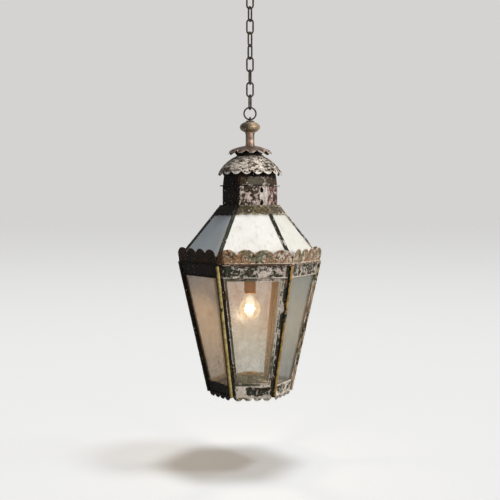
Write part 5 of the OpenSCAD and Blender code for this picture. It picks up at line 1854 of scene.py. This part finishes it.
@dataclass
class Studio:
    """Camera, lamps, world and floor, in metres from the ceiling plate's middle."""

    distance: float = 2.464
    azimuth: float = -4.1
    eye_z: float = -0.652
    pitch: float = 2.34
    lens: float = 63.36
    floor_z: float = -1.357
    near_tone: Colour = srgb(240, 240, 239)
    far_tone: Colour = srgb(212, 211, 209)

    def camera(self) -> None:
        """Adds the camera at the photograph's place, looking slightly down."""
        data = bpy.data.cameras.new("camera")
        data.lens, data.sensor_width = self.lens, 36.0
        camera = bpy.data.objects.new("camera", data)
        a = math.radians(self.azimuth)
        camera.location = (self.distance * math.sin(a), -self.distance * math.cos(a), self.eye_z)
        camera.rotation_euler = (math.radians(90 - self.pitch), 0, a)
        bpy.context.scene.collection.objects.link(camera)
        bpy.context.scene.camera = camera

    def lamp(self, name: str, kind: str, way: tuple[float, float], far: float, size: float,
             power: float, colour: Colour = (1, 1, 1)) -> bpy.types.Object:
        """Adds a lamp that faces the lantern's middle.

        Args:
            name: Name of the lamp.
            kind: "AREA" or "SUN".
            way: Compass angle from the front towards the right and height angle, in degrees.
            far: Distance from the lantern's middle.
            size: Side of an area lamp in metres, or a sun's angle in degrees.
            power: Watts, or a sun's strength.
            colour: Colour of its light.
        """
        data = bpy.data.lights.new(name, kind)
        data.energy, data.color = power, colour
        if kind == "SUN":
            data.angle = math.radians(size)
        else:
            data.size = size
        lamp = bpy.data.objects.new(name, data)
        round_, high = (math.radians(v) for v in way)
        lamp.location = (far * math.sin(round_) * math.cos(high),
                         -far * math.cos(round_) * math.cos(high), far * math.sin(high) - 0.85)
        lamp.rotation_euler = (math.pi / 2 - high, 0, round_)
        bpy.context.scene.collection.objects.link(lamp)
        return lamp

    def bulb_light(self) -> None:
        """Adds the bulb's own warm light in its middle. It rides on the bulb."""
        data = bpy.data.lights.new("bulb", "POINT")
        data.energy, data.color, data.shadow_soft_size = 5.0, (1.0, 0.74, 0.44), 0.02
        lamp = bpy.data.objects.new("bulb", data)
        lamp.location = (0, 0, Lamp().middle)
        bpy.context.scene.collection.objects.link(lamp)
        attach(lamp, "bulb")

    def floor(self) -> bpy.types.Object:
        """Adds the floor: rings of a disc, each a fixed share wider than the last."""
        n = 24
        radius = np.concatenate([[0.0], np.geomspace(0.4, 120, n)])
        a = np.linspace(0, 2 * math.pi, 48, endpoint=False)
        ring = radius[1:, None, None] * np.stack([np.cos(a), np.sin(a)], -1)[None]
        points = np.concatenate([[[0, 0]], ring.reshape(-1, 2)])
        points = np.column_stack([points, np.full(len(points), self.floor_z)])
        index = np.arange(n * 48).reshape(n, 48) + 1
        nxt = np.roll(index, -1, 1)
        quads = np.stack([index[:-1], index[1:], nxt[1:], nxt[:-1]], -1).reshape(-1, 4)
        fan = np.stack([np.zeros(48, int), index[0], nxt[0]], -1)
        mesh = bpy.data.meshes.new("floor")
        mesh.from_pydata(points.tolist(), [], fan.tolist() + quads.tolist())
        mesh.materials.append(self.paper())
        piece = bpy.data.objects.new("floor", mesh)
        bpy.context.scene.collection.objects.link(piece)
        return piece

    def paper(self) -> bpy.types.Material:
        """Returns the floor's paper.

        Its own light, which only the camera, metal and glass see, makes up what the lamps leave
        short of the near tone. It fades to the backdrop's tone with the power 1.8 of the distance.
        """
        material, g, shader = begin("studio_paper")
        seen = self.seen(g)
        flat = g.add("VectorMath", {"operation": "LENGTH"}, i0=g.place()).outputs["Value"]
        part = g.math("POWER", g.math("DIVIDE", flat, 7.5), 1.8)
        share = g.math("DIVIDE", part, g.math("ADD", part, 1.0))
        lit = (0.516, 0.567, 0.62)
        far = g.steps(flat, 25.0, 90.0)
        tone = g.mix(share, tuple(c - d for c, d in zip(self.near_tone, lit)),
                     tuple(c - d for c, d in zip(self.far_tone, lit)))
        tone = g.mix(g.math("MULTIPLY", g.noise(g.place(), 3.0, 2.0, 0.5), 0.03), tone, (0.4,) * 3)
        tone = g.mix(far, tone, self.far_tone)
        base = g.mix(far, (0.82, 0.9, 0.98), (0.0,) * 3)
        under = g.add("NewGeometry").outputs["Backfacing"]
        wire(g, shader, Base_Color=g.mix(seen, (0.04,) * 3, base), Roughness=1.0,
             Alpha=g.math("SUBTRACT", 1.0, under), Specular_IOR_Level=0.0, Emission_Color=g.mix(seen, (0.0,) * 3, tone),
             Emission_Strength=1.0)
        return material

    def seen(self, g: Graph) -> object:
        """Returns 1 for rays on which the camera, metal or glass sees the backdrop."""
        path = g.add("LightPath").outputs
        seen = g.math("MAXIMUM", path["Is Camera Ray"], path["Is Transmission Ray"])
        return g.math("MAXIMUM", seen, path["Is Glossy Ray"])

    def world(self) -> None:
        """Makes the world: a dim even fill, and the backdrop's grey for what sees it."""
        world = bpy.data.worlds.new("studio")
        world.use_nodes = True
        bpy.context.scene.world = world
        g = Graph(world.node_tree)
        world.node_tree.nodes.clear()
        fill = g.add("Background", None, Color=(0.92, 0.95, 1.0, 1), Strength=0.1)
        shown = g.add("Background", None, Color=(*self.far_tone, 1), Strength=1.0)
        blend = g.add("MixShader", None, i0=self.seen(g), i1=fill.outputs[0], i2=shown.outputs[0])
        end = world.node_tree.nodes.new("ShaderNodeOutputWorld")
        g.tree.links.new(blend.outputs[0], end.inputs["Surface"])

    def build(self) -> None:
        """Builds the studio: a high sun for the shadow, and a large lamp at the front right."""
        bpy.context.scene.view_settings.view_transform = "Standard"
        self.camera()
        floor = self.floor()
        self.world()
        self.bulb_light()
        self.lamp("high", "SUN", (88.0, 84.0), 3.0, 10.0, 1.12, (1.0, 1.0, 1.0))
        self.lamp("side", "SUN", (72.0, 64.0), 3.0, 12.0, 0.6, (1.0, 1.0, 1.0))
        key = self.lamp("key", "AREA", (38.0, 16.0), 2.6, 1.1, 66.0, (1.0, 0.98, 0.95))
        apart = bpy.data.collections.new("not_under_the_key")
        apart.objects.link(floor)
        apart.collection_objects[0].light_linking.link_state = "EXCLUDE"
        key.light_linking.receiver_collection = apart


# ---------------------------------------------------------------- the whole lantern


WHITE, WHITE_B = srgb(232, 222, 212), srgb(190, 172, 158)
RUST, RUST_B = srgb(104, 66, 48), srgb(52, 38, 30)
GREEN, GREEN_B = srgb(64, 70, 58), srgb(40, 44, 38)


def cap_paints() -> dict[str, bpy.types.Material]:
    """Returns the finishes of the caps and the neck."""
    cream = Paint("cream_flakes", srgb(70, 60, 46), srgb(40, 34, 27), (
        Layer(srgb(150, 134, 118), srgb(116, 102, 86), 0.50, 70.0, 1.0, 0.0, 0.0, 2.0),
        Layer(srgb(246, 236, 224), srgb(214, 200, 186), 0.5, 85.0, 4.0, 0.0, 0.0, 2.0, 0.7),
        Layer(srgb(74, 66, 48), srgb(50, 44, 34), 0.565, 60.0, 7.0, 0.02, 0.3, 2.4, 0.7),
        Layer(srgb(246, 240, 232), srgb(222, 212, 202), 0.64, 120.0, 9.0, 0.02, -0.03, 1.0, 0.6,
              spot=(0.0, 0.0, -0.5435, 0.13, 10.0, 0.42))), 2.3)
    petal = Paint("petal_grey", srgb(112, 92, 80), srgb(68, 56, 48), (
        Layer(srgb(186, 166, 154), srgb(150, 130, 118), 0.53, 120.0, 2.0, 0.02, -0.1),
        Layer(srgb(226, 212, 202), srgb(190, 172, 160), 0.63, 120.0, 5.0, 0.02, -0.14)), 6.1)
    return {"cream": cream.build(), "petal": petal.build(),
            "black": Plain("neck_black", srgb(24, 22, 19), srgb(40, 35, 29), 0.6).build()}


def drum_paints() -> dict[str, bpy.types.Material]:
    """Returns the finishes of the drums, the apron and the ribs."""
    # The last layer of most of these paints is painted shade that blackens the left sides.
    brown = Layer(srgb(74, 64, 48), srgb(40, 35, 28), 0.44, 60.0, 1.0)
    flakes = Layer(srgb(236, 220, 212), srgb(184, 160, 150), 0.527, 85.0, 4.0, -0.01, -0.04,
                   1.1, 0.75)
    side = Layer(srgb(122, 88, 76), srgb(76, 58, 48), 0.44, 90.0, 6.0, sides=(0.52, 2.0))
    # Painted shade: black spots over the drum's two keyholes, standing in for the dark inside that shows through them.
    holes = [Layer(srgb(10, 8, 7), srgb(16, 13, 11), 0.95, 200.0, 2.0, ragged=0.2,
                   spot=(0.0275, -0.066, z, 0.0062, 0.62, 0.9)) for z in (-0.587, -0.6205)]
    # Painted shadow: a near-black band round the top of the upper drum, where the dome cap above shades it.
    shade = Layer(srgb(14, 12, 10), srgb(24, 21, 17), 0.66, 110.0, 9.0,
                  spot=(0.0, 0.0, -0.540, 0.126, 6.0, 0.45))
    edges = [Layer(WHITE, WHITE_B, 0.68, 130.0, 12.0, ragged=0.7,
                   spot=(x, -0.066, -0.59, 0.009, 0.14, 0.24)) for x in (-0.034, 0.0385)]
    lower = Paint("drum_flakes", RUST, RUST_B, (
        brown, side, flakes, *edges,
        Layer(srgb(236, 226, 218), srgb(214, 200, 190), 0.70, 120.0, 8.0,
              spot=(0.036, -0.066, -0.598, 0.022, 0.45, 0.36)), *holes, left_side_shade(0.33)), 11.0)
    upper = Paint("sleeve_flakes", RUST, RUST_B, (
        brown, Layer(srgb(226, 210, 200), srgb(184, 160, 148), 0.53, 110.0, 4.0, 0.0, -0.05, 1.2),
        Layer(srgb(84, 72, 54), srgb(58, 50, 40), 0.47, 70.0, 6.0, sides=(0.52, 2.0)), shade,
        Layer(srgb(104, 100, 86), srgb(92, 88, 74), 0.72, 40.0, 8.0, ragged=0.3,
              spot=(0.012, -0.066, -0.562, 0.032, 2.2, 0.6)), *edges, left_side_shade(0.33)), 14.0)
    olive = Paint("collar_olive", srgb(84, 74, 54), srgb(50, 44, 33), (
        Layer(srgb(160, 144, 116), srgb(120, 104, 78), 0.62, 120.0, 2.0, 0.03), left_side_shade()), 15.0)
    apron = Paint("apron_olive", srgb(92, 82, 62), srgb(58, 52, 40), (
        Layer(srgb(152, 136, 104), srgb(118, 104, 76), 0.56, 100.0, 1.0, 0.02, -0.12),
        Layer(srgb(214, 202, 182), srgb(180, 164, 140), 0.60, 130.0, 5.0, 0.03, -0.12, 1.0, 0.7),
        left_side_shade()), 23.0)
    rib = Paint("rib_green", srgb(58, 60, 50), srgb(36, 38, 32), (
        Layer(WHITE, WHITE_B, 0.64, 90.0, 2.0, 0.05, -0.12),), 19.0)
    dark = Paint("dark_green", srgb(60, 54, 44), srgb(36, 34, 29), (
        Layer(WHITE, WHITE_B, 0.60, 110.0, 2.0, 0.08, -0.02), left_side_shade()), 17.0)
    return {"lower": lower.build(), "upper": upper.build(), "olive": olive.build(),
            "apron": apron.build(), "rib": rib.build(), "dark": dark.build()}


def crown_paints() -> dict[str, bpy.types.Material]:
    """Returns the finishes of the crown, its moulding and the border at the foot."""
    # The last layer of each of these paints is painted shade that blackens the left sides.
    copper = Paint("crown_copper", srgb(188, 148, 112), srgb(122, 92, 68), (
        Layer(srgb(158, 98, 64), srgb(126, 76, 50), 0.585, 60.0, 1.0, sides=(-2.0, 0.3)),
        Layer(srgb(130, 130, 106), srgb(98, 98, 80), 0.52, 80.0, 3.0, 0.03, 0.1),
        Layer(srgb(66, 54, 42), srgb(44, 37, 30), 0.565, 130.0, 5.0, 0.0, 0.06, 1.0, 0.7),
        Layer(srgb(240, 228, 212), srgb(196, 176, 154), 0.575, 110.0, 7.0, 0.04, -0.13, 1.0, 0.7,
              spot=(0.085, -0.165, -0.765, 0.05, 1.0, 0.06)),
        left_side_shade(0.31)), 1.0)
    rim = Paint("moulding_edge", srgb(112, 80, 62), srgb(70, 52, 42), (
        Layer(srgb(210, 188, 168), srgb(168, 146, 124), 0.60, 120.0, 2.0, 0.06, -0.07),
        left_side_shade()), 12.0)
    border = Paint("border_copper", srgb(134, 110, 84), srgb(88, 72, 56), (
        Layer(srgb(160, 152, 136), srgb(122, 114, 100), 0.50, 120.0, 1.0),
        Layer(srgb(248, 240, 226), srgb(214, 202, 186), 0.55, 120.0, 4.0, 0.03, -0.14),
        left_side_shade()), 3.0)
    return {"copper": copper.build(), "rim": rim.build(), "border": border.build()}


def cage_paints() -> dict[str, bpy.types.Material]:
    """Returns the finishes of the posts, beads, frieze, rail, wires and door."""
    # The last layer of the frieze, rail, post and wire paints is painted shade that blackens the left sides.
    front = Paint("frieze_green", srgb(96, 78, 58), srgb(58, 48, 38), (
        Layer(GREEN, GREEN_B, 0.44, 60.0, 1.0),
        Layer(WHITE, WHITE_B, 0.548, 95.0, 5.0, 0.015, -0.10, 1.0, 0.7,
              spot=(0.022, -0.165, -0.803, 0.03, 1.0, 0.10)),
        Layer(srgb(122, 98, 76), srgb(84, 68, 52), 0.60, 90.0, 8.0), left_side_shade(0.32)), 31.0)
    rail = Paint("rail_green", srgb(90, 78, 62), srgb(54, 48, 40), (
        Layer(GREEN, GREEN_B, 0.44, 70.0, 1.0),
        Layer(srgb(252, 242, 228), srgb(222, 206, 188), 0.537, 95.0, 5.0, 0.02, -0.12, 1.0, 0.7,
              spot=(-0.031, -0.1, -1.137, 0.017, 0.7, 0.3)),
        Layer(srgb(112, 98, 80), srgb(78, 68, 55), 0.60, 90.0, 8.0), left_side_shade(0.32)), 33.0)
    post = Paint("post_green", srgb(92, 62, 46), srgb(48, 36, 28), (
        Layer(srgb(60, 66, 54), srgb(36, 40, 34), 0.43, 70.0, 1.0),
        Layer(srgb(136, 108, 86), srgb(108, 86, 68), 0.60, 60.0, 2.0,
              spot=(0.08, 0.13, -0.92, 0.2, 0.6, 0.4)),
        Layer(WHITE, WHITE_B, 0.615, 120.0, 5.0, 0.03, -0.1, 0.5),
        Layer(srgb(196, 176, 152), srgb(150, 126, 100), 0.52, 90.0, 7.0, sides=(0.72, 2.0)),
        left_side_shade(0.3)), 37.0)
    bead = Paint("gilt_beads", srgb(50, 44, 30), srgb(28, 26, 20), (
        Layer(srgb(206, 186, 122), srgb(150, 130, 74), 0.36, 70.0, 1.0, 0.0, -0.06,
              sides=(-0.66, -0.3)),
        Layer(srgb(196, 158, 92), srgb(142, 112, 62), 0.74, 80.0, 4.0, 0.0, -0.3,
              sides=(-0.3, 2.0)),
        Layer(srgb(198, 178, 152), srgb(150, 126, 98), 0.5, 90.0, 7.0, sides=(0.72, 2.0)),
        Layer(srgb(206, 194, 158), srgb(170, 156, 110), 0.585, 130.0, 6.0, squash=0.5),
        Layer(srgb(44, 37, 27), srgb(24, 21, 17), 0.575, 150.0, 9.0, squash=0.4)), 4.0)
    white = Paint("wire_white", srgb(110, 92, 74), srgb(66, 56, 46), (
        Layer(WHITE, WHITE_B, 0.46, 140.0, 5.0, 0.05), left_side_shade(0.34)), 41.0)
    stile = Paint("stile_white", srgb(84, 82, 68), srgb(52, 52, 44), (
        Layer(srgb(116, 112, 96), srgb(88, 86, 72), 0.5, 70.0, 2.0),
        Layer(WHITE, WHITE_B, 0.60, 110.0, 5.0, 0.12, -0.1)), 43.0)
    dark = Paint("hinge_dark", srgb(72, 64, 48), srgb(44, 40, 32), (
        Layer(srgb(128, 112, 80), srgb(96, 82, 58), 0.56, 120.0, 2.0),), 45.0, metallic=0.5)
    button = Paint("button_brown", srgb(66, 54, 46), srgb(38, 31, 27), (
        Layer(srgb(238, 226, 208), srgb(212, 198, 178), 0.8, 120.0, 2.0, ragged=0.3,
              spot=(0.022, -0.106, -1.1190, 0.030, 11.0, 0.6)),), 47.0)
    return {"button": button.build(), "front": front.build(), "rail": rail.build(),
            "post": post.build(),
            "bead": bead.build(), "white": white.build(), "stile": stile.build(),
            "hinge": dark.build()}


def metals() -> dict[str, bpy.types.Material]:
    """Returns the finishes of the knob, chain, stem, holder, solder and steel pieces."""
    # The knob's lean of -5.0 is painted shade: darker on its left and lighter on its right.
    bronze = OldMetal("rubbed_bronze", srgb(214, 190, 160), srgb(150, 130, 104), srgb(58, 48, 36),
                      40.0, 0.34, 0.3, 0.0, -5.0)
    chain = OldMetal("chain_iron", srgb(104, 88, 70), srgb(60, 50, 40), srgb(36, 29, 23),
                     120.0, 0.42, 0.75, 2.0)
    stem = OldMetal("stem_brown", srgb(206, 182, 162), srgb(150, 122, 106), srgb(82, 64, 54),
                    60.0, 0.42, 0.5, 6.0)
    brass = OldMetal("holder_brass", srgb(206, 140, 84), srgb(158, 98, 54), srgb(92, 56, 34),
                     70.0, 0.42, 0.6, 8.0)
    solder = OldMetal("solder_grey", srgb(150, 144, 132), srgb(96, 90, 80), srgb(52, 48, 42),
                      150.0, 0.45, 0.6, 9.0)
    steel = OldMetal("dark_steel", srgb(160, 156, 146), srgb(84, 80, 72), srgb(48, 44, 38),
                     90.0, 0.4, 0.7, 10.0)
    return {"bronze": bronze.build(), "chain": chain.build(), "stem": stem.build(),
            "brass": brass.build(), "solder": solder.build(), "steel": steel.build()}


def main() -> None:
    """Builds the studio and every sub-assembly in order."""
    logging.basicConfig(level=logging.INFO, format="%(name)s: %(message)s")
    Studio().build()
    metal, caps, drums, crown, cage = (f() for f in (metals, cap_paints, drum_paints,
                                                     crown_paints, cage_paints))
    Chain().build(metal["chain"])
    Finial().build(metal["bronze"], metal["chain"], metal["stem"], caps["black"], caps["cream"],
                   caps["petal"])
    Drum().build(drums["upper"], drums["lower"], drums["olive"], drums["dark"])
    Roof().build(drums["rib"], drums["apron"], OpalGlass("opal", seed=1.0).build(), drums["dark"])
    Crown().build(crown["copper"], crown["rim"])
    Cage().build(cage["post"], cage["front"], cage["rail"], cage["bead"], cage["white"],
                 crown["border"], metal["solder"])
    Door().build(cage["stile"], DustyGlass("door_glass", seed=1.0).build(), cage["hinge"],
                 cage["button"])
    dress("side_panes", DustyGlass("pane_glass", thick=0.2, seed=5.0, steep=0.14).build())
    dress("floor_plate", drums["dark"])
    middle = Lamp().middle
    bulb = Glow("lit_glass", srgb(20, 14, 8), (1.0, 0.74, 0.42), 1.6, 0.15, middle, 0.06, 0.3)
    haze = Glow("light_haze", srgb(4, 3, 2), (1.0, 0.92, 0.74), 3.2, 0.17, middle, 0.09, 0.0)
    thread = Glow("filament", srgb(255, 230, 190), (1.0, 0.92, 0.74), 12.0, 1.0, middle, 0.05)
    mount = Glow("mount_glass", srgb(60, 54, 44), (1.0, 0.84, 0.6), 0.9, 0.3, middle, 0.05, 0.4)
    clay = Plain("porcelain", srgb(226, 218, 200), srgb(186, 172, 146), 0.35)
    lead = Plain("black_lead", srgb(26, 25, 24), srgb(44, 40, 36), 0.6)
    pan = OldMetal("old_pan", srgb(190, 160, 124), srgb(142, 112, 80), srgb(84, 64, 46),
                   60.0, 0.45, 0.5, 7.0)
    Lamp().build(bulb.build(), haze.build(), thread.build(), metal["brass"], clay.build(),
                 lead.build(), metal["steel"], pan.build(), mount.build())


if __name__ == "__main__":
    main()
